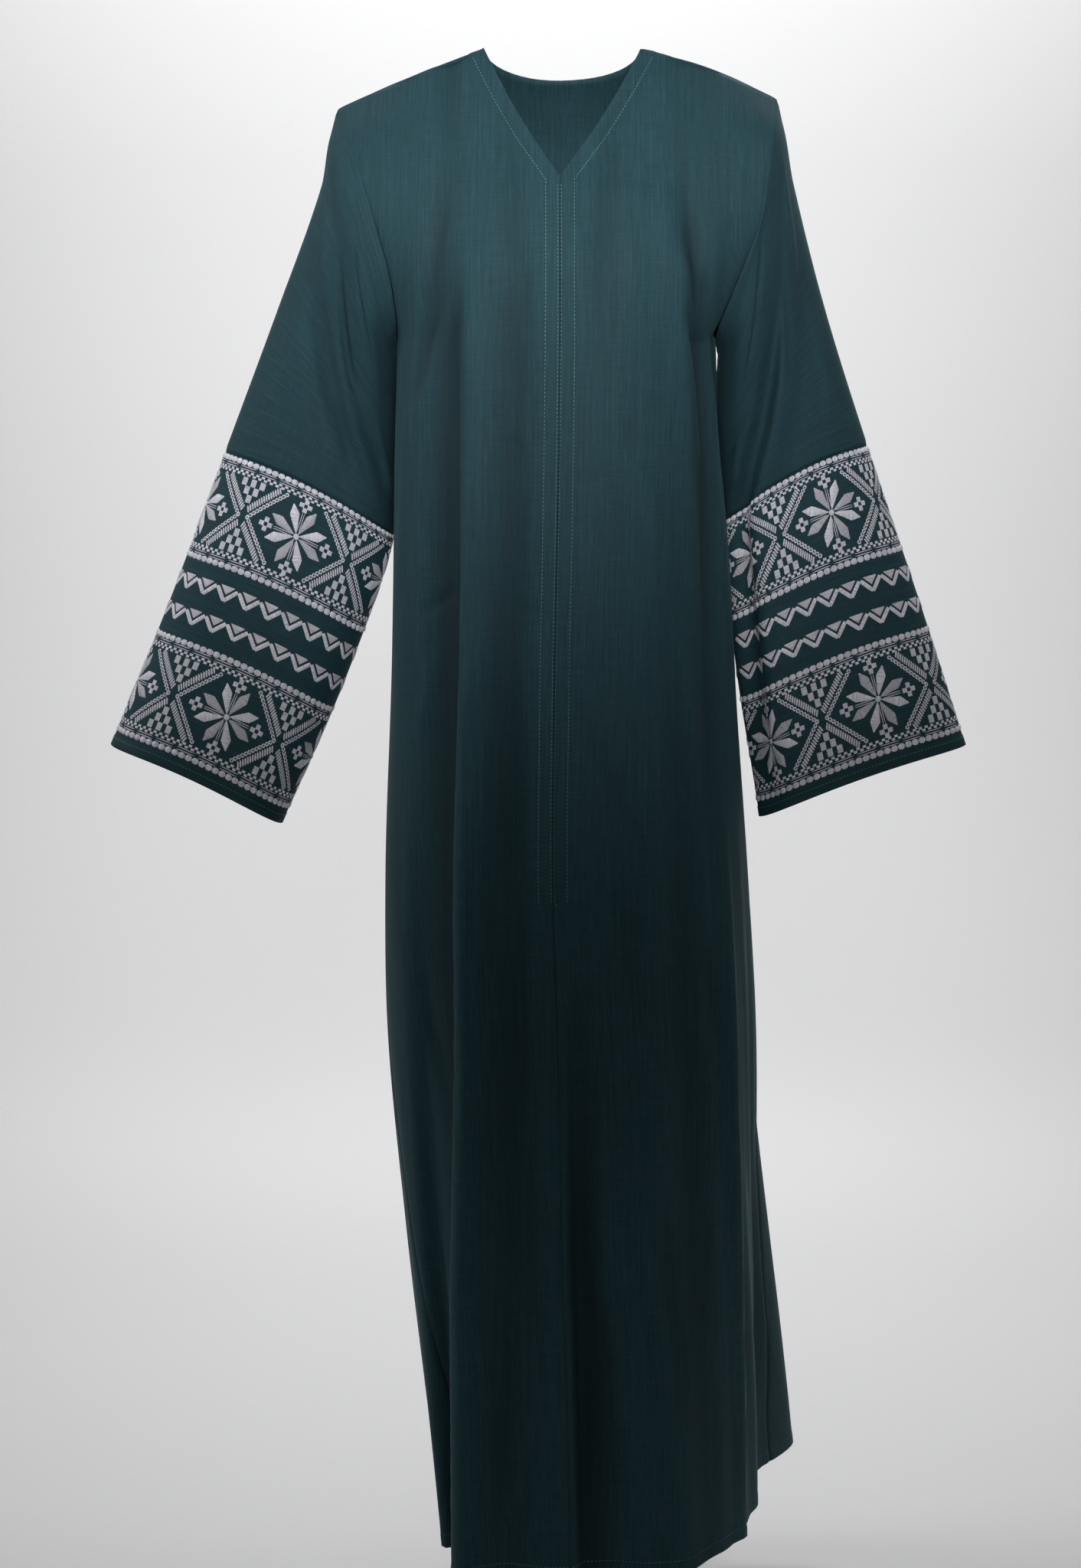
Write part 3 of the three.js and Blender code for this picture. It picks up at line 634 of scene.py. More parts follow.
def soften(values, reach):
    """A moving average up the rows, weighted like a bell."""
    offsets = np.arange(-3 * reach, 3 * reach + 1)
    weights = np.exp(-0.5 * (offsets / reach) ** 2)
    padded = np.pad(values, ((3 * reach, 3 * reach), (0, 0)), mode="edge")
    parts = [weight * padded[i : i + len(values)] for i, weight in enumerate(weights)]
    return np.sum(parts, axis=0) / weights.sum()


def ease_underarm(points, from_edge):
    """Softens the change of form at the underarm, less towards the armholes."""
    near = bump(points[..., 2] - UNDERARM_Z, EASE_REACH)
    strength = near * ease(from_edge / EDGE_SHARE)
    for axis in (0, 1):
        soft = soften(points[..., axis], EASE_ROWS)
        points[..., axis] = blend(points[..., axis], soft, strength)
    return points


EASE_REACH = 90
EASE_ROWS = 6
EDGE_SHARE = 0.14
print("rows softened over", 2 * EASE_REACH, "mm about the underarm")

# %% [markdown]
# Small creases
#
# Between the large folds a worn gown shows short, shallow creases where it is pulled: from the
# bust to the underarm, over the hip, beside the knee. Each one here is listed: where it
# starts and ends, as height and distance from the centre, its half width and its depth. Troughs
# are negative. The sides and the back, which no picture shows, get creases of the same kind.
#
# Long folds run from the chest to the hem. Each is a list of knots down the cloth, with its own
# place, its half width on both sides and its depth there, so it bends and widens as it falls.

# %% Creases and unevenness
CREASE_STRENGTH = 1.7
CREASE_NAMES = "z1 at1 z2 at2 half deep"
FRONT_CREASES = {
    "left": table(
        CREASE_NAMES,
        [
            (-190, -110, -300, -150, 13, -2.2),
            (-176, -96, -262, -128, 12, 1.6),
            (-474, -36, -480, -4, 7, -1.0),
            (-488, -146, -459, -103, 9, -1.6),
            (-319, -52, -334, -29, 7, -0.8),
            (-440, -70, -560, -90, 14, -1.2),
            (-610, -150, -520, -128, 11, 1.3),
            (-700, -40, -860, -52, 16, 1.2),
            (-820, -150, -980, -135, 12, -1.8),
            (-960, -28, -1230, -24, 15, -1.5),
            (-1060, -160, -1250, -150, 12, 1.8),
            (-1130, -60, -1360, -70, 12, -1.4),
            (-130, -60, -210, -44, 18, 1.0),
        ],
    ),
    "right": table(
        CREASE_NAMES,
        [
            (-150, 112, -210, 128, 12, 1.8),
            (-205, 122, -300, 158, 11, -2.4),
            (-357, 18, -357, 48, 8, -0.8),
            (-541, 11, -674, 72, 9, -1.3),
            (-670, 70, -712, 92, 8, -0.9),
            (-481, 2, -483, 18, 7, -1.0),
            (-480, 120, -610, 140, 14, 1.5),
            (-690, 60, -850, 74, 16, -1.2),
            (-780, 150, -900, 168, 12, -1.6),
            (-900, 34, -1180, 42, 20, 1.6),
            (-1010, 96, -1260, 110, 16, -1.8),
            (-1150, 16, -1370, 18, 12, -1.6),
            (-330, 60, -420, 96, 16, 1.0),
        ],
    ),
}
BACK_CREASES = table(
    CREASE_NAMES,
    [
        (-180, -128, -300, -160, 12, -2.0),
        (-186, 128, -310, 164, 12, -2.2),
        (-300, -60, -430, -84, 15, 1.2),
        (-320, 70, -450, 96, 15, 1.2),
        (-400, -20, -470, 30, 12, -1.0),
        (-520, -120, -640, -150, 13, -1.5),
        (-540, 124, -660, 146, 13, -1.4),
        (-700, 24, -880, 40, 16, 1.3),
        (-760, -70, -960, -66, 15, -1.4),
        (-930, 96, -1160, 110, 15, -1.6),
        (-1020, -130, -1250, -150, 14, 1.6),
        (-1100, 10, -1350, 4, 16, 1.6),
        (-60, -90, -140, -64, 18, 1.0),
        (-60, 90, -150, 60, 18, 1.0),
    ],
)
FOLD_NAMES = "z at inner outer deep"
LONG_FOLD_KNOTS = {
    "left": [
        [(-160, -78, 14, 10, 0), (-260, -81, 18, 11, 4), (-620, -81, 20, 11, 6),
         (-900, -87, 20, 11, 7), (-1150, -98, 20, 11, 7), (-1390, -104, 20, 12, 7)],
        [(-150, -98, 14, 20, -1), (-230, -102, 16, 34, -10), (-620, -104, 18, 42, -15),
         (-900, -110, 18, 42, -16), (-1150, -122, 18, 40, -16), (-1390, -128, 18, 38, -15)],
        [(-80, -44, 22, 22, -2), (-200, -42, 30, 24, -5), (-620, -42, 34, 26, -7),
         (-900, -46, 34, 26, -5), (-1150, -54, 36, 28, -3), (-1390, -58, 36, 30, -2)],
        [(-70, -104, 20, 20, -2), (-150, -116, 20, 16, -6), (-230, -134, 18, 14, -7),
         (-300, -150, 14, 12, 0)],
    ],
    "right": [
        [(-90, 92, 24, 12, 0), (-140, 102, 26, 12, 3), (-225, 116, 26, 12, 4),
         (-320, 126, 26, 12, 3), (-440, 132, 24, 10, 0)],
        [(-90, 118, 12, 16, -1), (-150, 130, 18, 24, -8), (-225, 148, 28, 26, -12),
         (-300, 158, 30, 26, -12), (-420, 164, 30, 26, -9), (-600, 166, 30, 30, -6),
         (-760, 168, 30, 30, 0)],
        [(-620, 182, 18, 12, 0), (-780, 187, 22, 11, 4), (-960, 190, 22, 11, 6),
         (-1150, 202, 22, 11, 7), (-1390, 214, 22, 11, 7)],
        [(-800, 16, 18, 30, 0), (-960, 16, 16, 36, -8), (-1150, 16, 16, 42, -14),
         (-1390, 16, 16, 44, -15)],
        [(-330, 118, 30, 26, 0), (-520, 124, 34, 30, -3), (-760, 126, 36, 32, -5),
         (-1000, 130, 40, 40, -5), (-1390, 140, 44, 44, -5)],
        [(-60, 44, 20, 20, -2), (-160, 42, 22, 22, -3), (-300, 40, 24, 24, 0)],
    ],
    "back": [
        [(-200, -100, 16, 16, 0), (-340, -92, 20, 14, 4), (-800, -96, 22, 14, 5),
         (-1390, -116, 22, 14, 5)],
        [(-200, -124, 16, 18, 0), (-340, -120, 20, 32, -9), (-800, -124, 22, 38, -12),
         (-1390, -146, 22, 38, -12)],
        [(-260, 0, 26, 26, 0), (-460, 4, 34, 34, -7), (-1390, 8, 38, 38, -11)],
        [(-200, 96, 14, 16, 0), (-340, 94, 14, 20, 4), (-800, 100, 14, 22, 5),
         (-1390, 118, 14, 22, 5)],
        [(-200, 120, 18, 16, 0), (-340, 120, 20, 30, -9), (-800, 128, 22, 36, -12),
         (-1390, 148, 22, 36, -12)],
        [(-340, -52, 24, 24, 0), (-700, -50, 28, 28, -4), (-1390, -60, 32, 32, -7)],
        [(-400, 56, 24, 24, 0), (-760, 54, 28, 28, -4), (-1390, 66, 32, 32, -7)],
    ],
}
LONG_FOLDS = {
    part: [table(FOLD_NAMES, knots) for knots in folds] for part, folds in LONG_FOLD_KNOTS.items()
}


def crease_height(across, z, creases):
    """The height that a table of creases adds at each point, given its place on the cloth."""
    height = np.zeros_like(across)
    for crease in creases:
        step_x, step_z = crease["at2"] - crease["at1"], crease["z2"] - crease["z1"]
        length = math.hypot(step_x, step_z)
        dx, dz = across - crease["at1"], z - crease["z1"]
        along = (dx * step_x + dz * step_z) / length
        beside = (dx * step_z - dz * step_x) / length
        t = np.clip(along / length, 0, 1)
        height += crease["deep"] * bump(beside, crease["half"]) * np.sin(np.pi * t) ** 0.7
    return CREASE_STRENGTH * height


def long_fold_height(across, z, folds):
    """The height of folds that follow a path down the cloth, with their own width and depth."""
    height = np.zeros_like(across)
    for fold in folds:
        levels = [knot["z"] for knot in fold][::-1]

        def at(name):
            return np.interp(z, levels, [knot[name] for knot in fold][::-1])

        beside = across - at("at")
        half = np.where(beside * fold[0]["at"] > 0, at("outer"), at("inner"))
        height += at("deep") * bump(beside / half, 1)
    return height


def unevenness(across, down, seed, amount, shortest=45, longest=170, waves=9):
    """Soft uneven waves, the same on every run, for cloth that never lies perfectly smooth."""
    dice = random.Random(seed)
    height = np.zeros_like(across)
    for _ in range(waves):
        length = dice.uniform(shortest, longest)
        turn = dice.gauss(0, 0.35)
        phase = dice.uniform(0, 2 * math.pi)
        share = dice.uniform(0.5, 1)
        along = (across * math.cos(turn) + 0.45 * down * math.sin(turn)) / length
        sway = 0.6 * np.sin(down / dice.uniform(90, 240) + phase)
        height += share * np.sin(2 * np.pi * along + phase + sway)
    return amount * height / waves**0.5


print("small creases:", sum(len(rows) for rows in FRONT_CREASES.values()) + len(BACK_CREASES))

# %% [markdown]
# The nets of the body
#
# Each front is one net from the hem to the shoulder seam, and the back is one net across. The
# columns lie closer at the centre, where the placket needs a crisp edge, and the rows lie closer
# at the hem. Both fronts end on the same centre line, and the back shares their side seams.

# %% Body nets
HEM_ROWS = np.linspace(HEM_Z, HEM_Z + 28, 12)
SKIRT_LEVELS = np.concatenate([HEM_ROWS, np.linspace(HEM_Z + 28, UNDERARM_Z, 214)[1:-1]])
YOKE_UPS = np.linspace(0, 1, 57)
SIDE_TO_CENTRE = np.concatenate(
    [np.linspace(0, 0.02, 4), np.linspace(0.02, 0.91, 48)[1:], np.linspace(0.91, 1, 15)[1:]]
)
NECK_SHARE = FRONT_COLUMNS / (FRONT_COLUMNS + NECK_COLUMNS / 2)
SIDE_TO_BACK = np.concatenate(
    [
        np.linspace(0, 0.02, 4),
        np.linspace(0.02, NECK_SHARE, 42)[1:],
        np.linspace(NECK_SHARE, 1, 12)[1:],
    ]
)


def front_points(side):
    """The rows of a front from the hem up, each from left to right as seen from the front."""
    rows = []
    for z in SKIRT_LEVELS:
        seam = float(SEAMS[side](z))
        row = skirt_row(z, seam, 0, SIDE_TO_CENTRE)
        rows.append(row if side == "left" else row[::-1])
    for up in YOKE_UPS:
        row = yoke_row(side, "front", float(up), SIDE_TO_CENTRE)
        rows.append(row if side == "left" else row[::-1])
    points = np.array(rows)
    from_edge = SIDE_TO_CENTRE if side == "left" else SIDE_TO_CENTRE[::-1]
    return ease_underarm(points, np.broadcast_to(from_edge, points.shape[:2]))


def back_points():
    """The rows of the back from the hem up, each from right to left as seen from the front."""
    rows = []
    for z in SKIRT_LEVELS:
        right = skirt_row(z, float(SEAMS["right"](z)), 180, SIDE_TO_BACK)
        left = skirt_row(z, 360 + float(SEAMS["left"](z)), 180, SIDE_TO_BACK)
        rows.append(np.vstack([right, left[::-1][1:]]))
    for up in YOKE_UPS:
        right = yoke_row("right", "back", float(up), SIDE_TO_BACK)
        left = yoke_row("left", "back", float(up), SIDE_TO_BACK)
        rows.append(np.vstack([right, left[::-1][1:]]))
    points = np.array(rows)
    from_edge = np.concatenate([SIDE_TO_BACK, SIDE_TO_BACK[::-1][1:]])
    return ease_underarm(points, np.broadcast_to(from_edge, points.shape[:2]))


UNDERARM_ROW = len(SKIRT_LEVELS)
print("rows:", UNDERARM_ROW + len(YOKE_UPS), "columns:", len(SIDE_TO_CENTRE))

# %% [markdown]
# Placket, seams and hems as form
#
# A placket is two thicknesses of cloth sewn flat, so it stands a little proud, and the upper
# front laps over the lower one in a crisp edge. A seam pulls its cloth in, and a folded hem is
# double. These steps are under a millimetre high, but the light finds them.

# %% Relief of the sewing
PLACKET_HALF = 14
LAP_EDGE = 5
PLACKET_END_Z = -750
PLACKET_HEIGHT = 0.7
LAP_HEIGHT = 0.9
SEAM_DIP = 1.0
SEAM_HALF = 5
HEM_DEPTH = 12
HEM_HEIGHT = 0.5
HEM_STEP = 2.5
PLACKET_STEP, PLACKET_END_STEP = 1.6, 4
LAP_HALF = 3.2
CENTRE_SEAM_SHARE = 0.7
TOP_DIP = 0.4


def step_up(distance, width):
    """0 before the line and 1 past it, over a short width."""
    return ease(distance / width + 0.5)


def edge_dip(distance):
    return -SEAM_DIP * bump(distance, SEAM_HALF)


def from_side_seams(side, across):
    """The distance along the cloth from a piece's side seam, or from the nearer of the back's."""
    first, last = np.abs(across - across[:, :1]), np.abs(across - across[:, -1:])
    return {"left": first, "right": last, "back": np.minimum(first, last)}[side]


def with_edges(height, side, across, z):
    """Adds the side seams, the hem and the sewn top edge, which every body piece has."""
    height = height + edge_dip(from_side_seams(side, across))
    height += HEM_HEIGHT * step_up(HEM_Z + HEM_DEPTH - z, HEM_STEP)
    height[-2:] -= TOP_DIP
    return height


def front_relief(side, across, z):
    """Height of the placket, and of the centre seam below it, from the distance to the centre."""
    from_centre = np.abs(across)
    above_end = step_up(z - PLACKET_END_Z, PLACKET_END_STEP)
    placket = step_up(PLACKET_HALF - from_centre, PLACKET_STEP) * above_end
    lap = LAP_HEIGHT if side == "left" else -LAP_HEIGHT
    height = PLACKET_HEIGHT * placket + lap * bump(from_centre, LAP_HALF) * above_end
    below_end = step_up(PLACKET_END_Z - z, PLACKET_END_STEP)
    return height + edge_dip(from_centre) * CENTRE_SEAM_SHARE * below_end


# %% Fronts and back as cloth
WARP_EASE = 90
FOLD_REACH = 5
SIDE_FADE, ARM_FADE, ARM_REACH = 30, 60, 80
CENTRE_FADE = 12


def side_fade(from_side, z):
    """Folds fade towards a side seam, over a longer way under the arm."""
    return ease(from_side / (SIDE_FADE + ARM_FADE * bump(z - UNDERARM_Z, ARM_REACH)))


def straight_threads(points, across):
    """The place across the cloth, kept straight above the underarm, as its warp runs there."""
    order = np.argsort(points[UNDERARM_ROW, :, 0])
    row_x = points[UNDERARM_ROW, order, 0]
    row_across = across[UNDERARM_ROW, order]
    x = points[..., 0]
    beyond = x - np.clip(x, row_x[0], row_x[-1])
    straight = np.interp(x, row_x, row_across) + np.sign(row_across[-1] - row_across[0]) * beyond
    above = ease((points[..., 2] - UNDERARM_Z) / WARP_EASE)
    above[:UNDERARM_ROW] = 0
    return blend(across, straight, above)


def front_cloth(side):
    points = front_points(side)
    lengths = run_lengths(points)
    across = lengths - lengths[:, -1:] if side == "left" else lengths
    warp = straight_threads(points, across)
    cloth = Cloth(points, across, column_lengths(points, UNDERARM_ROW))
    cloth.warp = warp
    creases = crease_height(warp, points[..., 2], FRONT_CREASES[side])
    creases = creases + long_fold_height(warp, points[..., 2], LONG_FOLDS[side])
    waves = unevenness(warp, cloth.down, 7 if side == "left" else 11, 0.45)
    from_side = from_side_seams(side, across)
    edges = ease(np.abs(across) / CENTRE_FADE) * side_fade(from_side, points[..., 2])
    cloth.folds = (creases + waves) * edges
    cloth.raise_by(cloth.folds, FOLD_REACH)
    z = points[..., 2]
    cloth.raise_by(with_edges(front_relief(side, across, z), side, across, z))
    return cloth


def back_cloth():
    points = back_points()
    lengths = run_lengths(points)
    across = lengths - lengths[:, len(SIDE_TO_BACK) - 1 :][:, :1]
    warp = straight_threads(points, -across)
    cloth = Cloth(points, -across, column_lengths(points, UNDERARM_ROW))
    cloth.warp = warp
    creases = crease_height(warp, points[..., 2], BACK_CREASES)
    creases = creases + long_fold_height(warp, points[..., 2], LONG_FOLDS["back"])
    waves = unevenness(across, cloth.down, 19, 0.5)
    from_side = from_side_seams("back", across)
    cloth.folds = (creases + waves) * side_fade(from_side, points[..., 2])
    cloth.raise_by(cloth.folds, FOLD_REACH)
    cloth.raise_by(with_edges(0, "back", across, points[..., 2]))
    return cloth


BODY_CLOTH = {
    "front_right": front_cloth("left"),
    "front_left": front_cloth("right"),
    "back": back_cloth(),
}
for name, cloth in BODY_CLOTH.items():
    print(name, "hem width:", round(float(np.ptp(cloth.across[0]))), "mm")

# %% [markdown]
# The sleeves and their panels
#
# The upper sleeve and the panel are cut apart and sewn with a seam across the arm. Both are rings
# at even steps down the sleeve. The panel's lower edge is turned in and stitched, and the seam
# across the arm dips a little.

# %% Sleeve nets
SLEEVE_COLUMNS = 132
UPPER_ALONGS = np.concatenate([np.linspace(0, 12, 6)[:-1], np.linspace(12, PANEL_START, 68)])
PANEL_ALONGS = np.concatenate(
    [
        np.linspace(PANEL_START, PANEL_START + 8, 6)[:-1],
        np.linspace(PANEL_START + 8, SLEEVE_LENGTH - 14, 72)[:-1],
        np.linspace(SLEEVE_LENGTH - 14, SLEEVE_LENGTH, 8),
    ]
)
CUFF_DEPTH = 9


def sleeve_cloth(side, alongs):
    points = np.array([sleeve_row(side, float(along), SLEEVE_COLUMNS) for along in alongs])
    across = run_lengths(points)
    down = np.broadcast_to(alongs[:, None], across.shape).astype(float)
    return Cloth(points, across, down, closed=True, outside=1 if side == "right" else -1)


def ring_waves(cloth, seed, amount):
    """Uneven waves that close on themselves round a sleeve."""
    dice = random.Random(seed)
    share = cloth.across / cloth.across[:, -1:]
    height = np.zeros_like(share)
    for _ in range(9):
        turns = dice.choice([3, 4, 5, 6, 7, 9])
        phase = dice.uniform(0, 2 * math.pi)
        drift = dice.uniform(-0.012, 0.012)
        pulse = np.sin(cloth.down / dice.uniform(40, 110) + phase)
        wave = np.sin(2 * np.pi * turns * share + phase + drift * cloth.down)
        height += wave * (0.6 + 0.4 * pulse)
    return amount * height / 3


SLEEVE_CREASE_NAMES = "down1 at1 down2 at2 half deep"
SLEEVE_CREASES = {
    "left": table(
        SLEEVE_CREASE_NAMES,
        [
            (30, 40, 130, 92, 12, 2.0),
            (60, 96, 170, 150, 12, -2.2),
            (95, 60, 210, 70, 14, 1.2),
            (20, 130, 90, 190, 10, -2.0),
            (150, 190, 280, 205, 13, 1.8),
            (210, 120, 315, 150, 12, -1.2),
            (40, 330, 180, 350, 14, -1.6),
            (120, 400, 300, 420, 16, 1.4),
            (60, 270, 210, 290, 13, 1.8),
        ],
    ),
    "right": table(
        SLEEVE_CREASE_NAMES,
        [
            (24, 50, 120, 62, 12, 1.4),
            (70, 84, 200, 92, 13, -1.6),
            (20, 130, 120, 170, 11, -2.0),
            (130, 40, 300, 56, 14, 1.0),
            (190, 180, 300, 190, 12, 1.6),
            (60, 290, 200, 300, 14, -1.6),
            (110, 350, 290, 366, 16, 1.5),
            (40, 400, 170, 420, 13, 1.6),
        ],
    ),
}


def sleeve_creases(cloth, creases):
    """The height of a table of creases whose places are distances down and round the sleeve."""
    moved = [{**row, "z1": -row["down1"], "z2": -row["down2"]} for row in creases]
    return crease_height(cloth.across, -cloth.down, moved)


SWELL = {
    "left": table(
        "down deep", [(0, 0), (12, 6), (30, 11), (60, 12), (110, 8), (175, 5), (320, 2)]
    ),
    "right": table(
        "down deep", [(0, 0), (12, 5), (30, 8), (60, 10), (110, 9), (175, 5.5), (320, 2)]
    ),
}


def from_inner_edge(cloth):
    """The distance round the sleeve from its edge nearest the body."""
    nearest = np.abs(cloth.points[..., 0]).argmin(axis=1)
    at = cloth.across[np.arange(len(nearest)), nearest]
    smooth_at = np.polyval(np.polyfit(cloth.down[:, 0], at, 2), cloth.down[:, :1])
    return cloth.across - smooth_at


def inner_swell(cloth, knots):
    """The fold of the sleeve's inner edge, which swells towards the body under the arm."""
    deep = np.interp(cloth.down, [k["down"] for k in knots], [k["deep"] for k in knots])
    return deep * bump(from_inner_edge(cloth), SWELL_HALF)


# How deep and how wide the painted shade on the sleeve's inner side reaches.
INNER_SHADE_DEPTH = 12
INNER_SHADE_HALF = 80
SWELL_HALF = 46
CREASE_EASE, WAVE_EASE = 40, 30
PANEL_SEAM_SHARE = 0.8


def upper_sleeve(side, seed):
    cloth = sleeve_cloth(side, UPPER_ALONGS)
    ends = ease(cloth.down / CREASE_EASE)
    height = (sleeve_creases(cloth, SLEEVE_CREASES[side]) + ring_waves(cloth, seed, 0.5)) * ends
    # Painted shade: the folds attribute is lowered on the sleeve's inner side next to the body, so
    # its colour is darker there; the cloth itself is not moved.
    cloth.folds = height - INNER_SHADE_DEPTH * bump(from_inner_edge(cloth), INNER_SHADE_HALF)
    height += edge_dip(cloth.down) + PANEL_SEAM_SHARE * edge_dip(PANEL_START - cloth.down)
    height += inner_swell(cloth, SWELL[side])
    cloth.raise_by(height)
    return cloth


def sleeve_panel(side, seed):
    cloth = sleeve_cloth(side, PANEL_ALONGS)
    height = ring_waves(cloth, seed, 0.35) * ease((cloth.down - PANEL_START) / WAVE_EASE)
    height += PANEL_SEAM_SHARE * edge_dip(cloth.down - PANEL_START)
    height += HEM_HEIGHT * step_up(cloth.down - (SLEEVE_LENGTH - CUFF_DEPTH), HEM_STEP)
    cloth.raise_by(height)
    return cloth


PANELS = ("sleeve_panel_right", "sleeve_panel_left")
SLEEVE_CLOTH = {
    "sleeve_right": upper_sleeve("left", 23),
    "sleeve_left": upper_sleeve("right", 29),
    "sleeve_panel_right": sleeve_panel("left", 31),
    "sleeve_panel_left": sleeve_panel("right", 37),
}
for name, cloth in SLEEVE_CLOTH.items():
    print(name, "girth:", round(float(cloth.across[:, -1].mean())), "mm")

# %% [markdown]
# Shader maths
#
# A woven finish is mostly arithmetic on the cloth's own coordinates. The small class here lets a
# material be written as an expression: each operator adds a Math node. Any other node comes from
# one method that takes its type, its settings and the values or links of its sockets.

# %% A class for shader expressions


class Value:
    """A number that varies over the surface: the output socket of a node."""

    def __init__(self, finish, socket):
        self.finish = finish
        self.socket = socket

    def join(self, operation, first, second):
        return self.finish.node("ShaderNodeMath", {"operation": operation}, {0: first, 1: second})

    def __add__(self, other):
        return self.join("ADD", self, other)

    def __radd__(self, other):
        return self.join("ADD", other, self)

    def __rsub__(self, other):
        return self.join("SUBTRACT", other, self)

    def __mul__(self, other):
        return self.join("MULTIPLY", self, other)


class Finish:
    """One material and the nodes that it is made of."""

    def __init__(self, name, roughness, specular):
        self.material = bpy.data.materials.new(name)
        self.material.use_nodes = True
        self.tree = self.material.node_tree
        self.shader = self.tree.nodes["Principled BSDF"]
        self.shader.inputs["Roughness"].default_value = roughness
        self.shader.inputs["Specular IOR Level"].default_value = specular

    def node(self, kind, settings=None, sockets=None, output=0):
        made = self.tree.nodes.new(kind)
        for name, value in (settings or {}).items():
            setattr(made, name, value)
        for name, value in (sockets or {}).items():
            if isinstance(value, Value):
                self.tree.links.new(value.socket, made.inputs[name])
            else:
                made.inputs[name].default_value = value
        return Value(self, made.outputs[output])

    def feed(self, name, value):
        self.tree.links.new(value.socket, self.shader.inputs[name])

    def fixed(self, name, value):
        self.shader.inputs[name].default_value = value

    def stretched(self, place, scale):
        """The cloth's coordinates, scaled by a different number each way."""
        return self.node(
            "ShaderNodeVectorMath", {"operation": "MULTIPLY"}, {0: place, 1: (*scale, 1.0)}
        )

    def noise(self, place, scale, detail=2.0, roughness=0.5):
        vector = self.stretched(place, scale)
        sockets = {"Vector": vector, "Scale": 1.0, "Detail": detail, "Roughness": roughness}
        return self.node("ShaderNodeTexNoise", {"noise_dimensions": "3D"}, sockets)

    def mix(self, factor, first, second):
        """A colour between two, or between a colour and another varying one."""
        return self.node(
            "ShaderNodeMix", {"data_type": "RGBA"}, {0: factor, 6: first, 7: second}, output=2
        )

    def levels(self, value, low, high):
        """0 at low and 1 at high, held between them."""
        sockets = {"Value": value, "From Min": low, "From Max": high}
        return self.node("ShaderNodeMapRange", {"clamp": True}, sockets)


print("shader class ready")

# %% [markdown]
# The cloth's finish
#
# The gown is a dark teal plain weave of uneven yarn. Single threads are far too fine to see from
# a step away, but its slubs, the thick places in the yarn, show as short pale and dark streaks
# along the warp, crossed by finer ones in the weft. The yarns are two tones, green and blue, so
# each streak drifts between them. A weak sheen gives the soft glow at the turning edges. The
# net's "folds" attribute tells how deep each point lies, and shade is painted into the colour
# from it, darker the deeper a point lies. On the sleeves it also holds a painted shade on the
# side next to the body.

# %% Woven cloth
TEAL = (0.0225, 0.061, 0.082, 1)
DEEP = (0.0112, 0.033, 0.041, 1)
GREEN = (0.021, 0.073, 0.081, 1)
PALE = (0.044, 0.104, 0.134, 1)
# The colour of the painted shade in the troughs of the folds.
PAINTED_TROUGH_SHADE = (0.0060, 0.0145, 0.0165, 1)


def woven(name):
    finish = Finish(name, roughness=0.7, specular=0.15)
    place = finish.node("ShaderNodeTexCoord", output=2)
    warp = finish.noise(place, (1100, 45), detail=3)
    weft = finish.noise(place, (28, 950), detail=3)
    long_streak = finish.noise(place, (420, 9), detail=2)
    cloud = finish.noise(place, (11, 8), detail=2)
    threads = warp * 0.52 + weft * 0.48
    base = finish.mix(finish.levels(threads, 0.32, 0.66), DEEP, TEAL)
    greener = finish.mix(finish.levels(long_streak, 0.36, 0.72) * 0.6, base, GREEN)
    slubs = finish.levels(warp * 0.75 + long_streak * 0.25, 0.56, 0.72)
    colour = finish.mix(slubs * 0.3, greener, PALE)
    # Painted shade: points that lie deep in a fold, by the folds attribute, get a darker colour.
    fold = finish.node("ShaderNodeAttribute", {"attribute_name": "folds"}, output=2)
    painted_trough_shade = 1 - finish.levels(fold, -10, 2)
    shade = finish.levels(cloud, 0.3, 0.7)
    clouded = finish.mix(shade * 0.14, colour, DEEP)
    finish.feed("Base Color", finish.mix(painted_trough_shade * 0.72, clouded, PAINTED_TROUGH_SHADE))
    finish.feed("Roughness", 0.60 + threads * 0.24)
    height = threads * 0.75 + slubs * 0.25
    sockets = {"Strength": 0.35, "Distance": 0.0005, "Height": height}
    finish.feed("Normal", finish.node("ShaderNodeBump", {}, sockets))
    finish.fixed("Sheen Weight", 0.05)
    finish.fixed("Sheen Roughness", 0.4)
    finish.fixed("Sheen Tint", (0.35, 0.76, 0.84, 1))
    return finish.material


CLOTH_FINISH = woven("teal_slub_weave")
print("cloth nodes:", len(CLOTH_FINISH.node_tree.nodes))

# %% [markdown]
# Dressing the solids
#
# Each shell now replaces its solid. On the sleeves the slubs run round the arm, because the
# sleeve is cut across the cloth, so there the two directions of the UV map change places.

# %% Shells in place of solids
for name, cloth in {**BODY_CLOTH, **SLEEVE_CLOTH}.items():
    slot = "embroidered_cloth" if "panel" in name else "cloth"
    across_arm = "sleeve" in name
    grid_object(name + "_cloth", cloth, CLOTH_FINISH, across_arm)
    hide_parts(name)

# %% [markdown]
# Rows of stitches
#
# The gown is sewn with a teal-green thread that is paler than the cloth. Four rows run down the
# placket, the outer two carry on round the V neck, and more rows hold the back neck, the hem and
# the cuffs. A stitch is a small raised pad: one flat grid is shaped once, then an array copies it
# along each line, all joined in one mesh for each shell, because a thousand objects would be slow.

# %% Raised pads


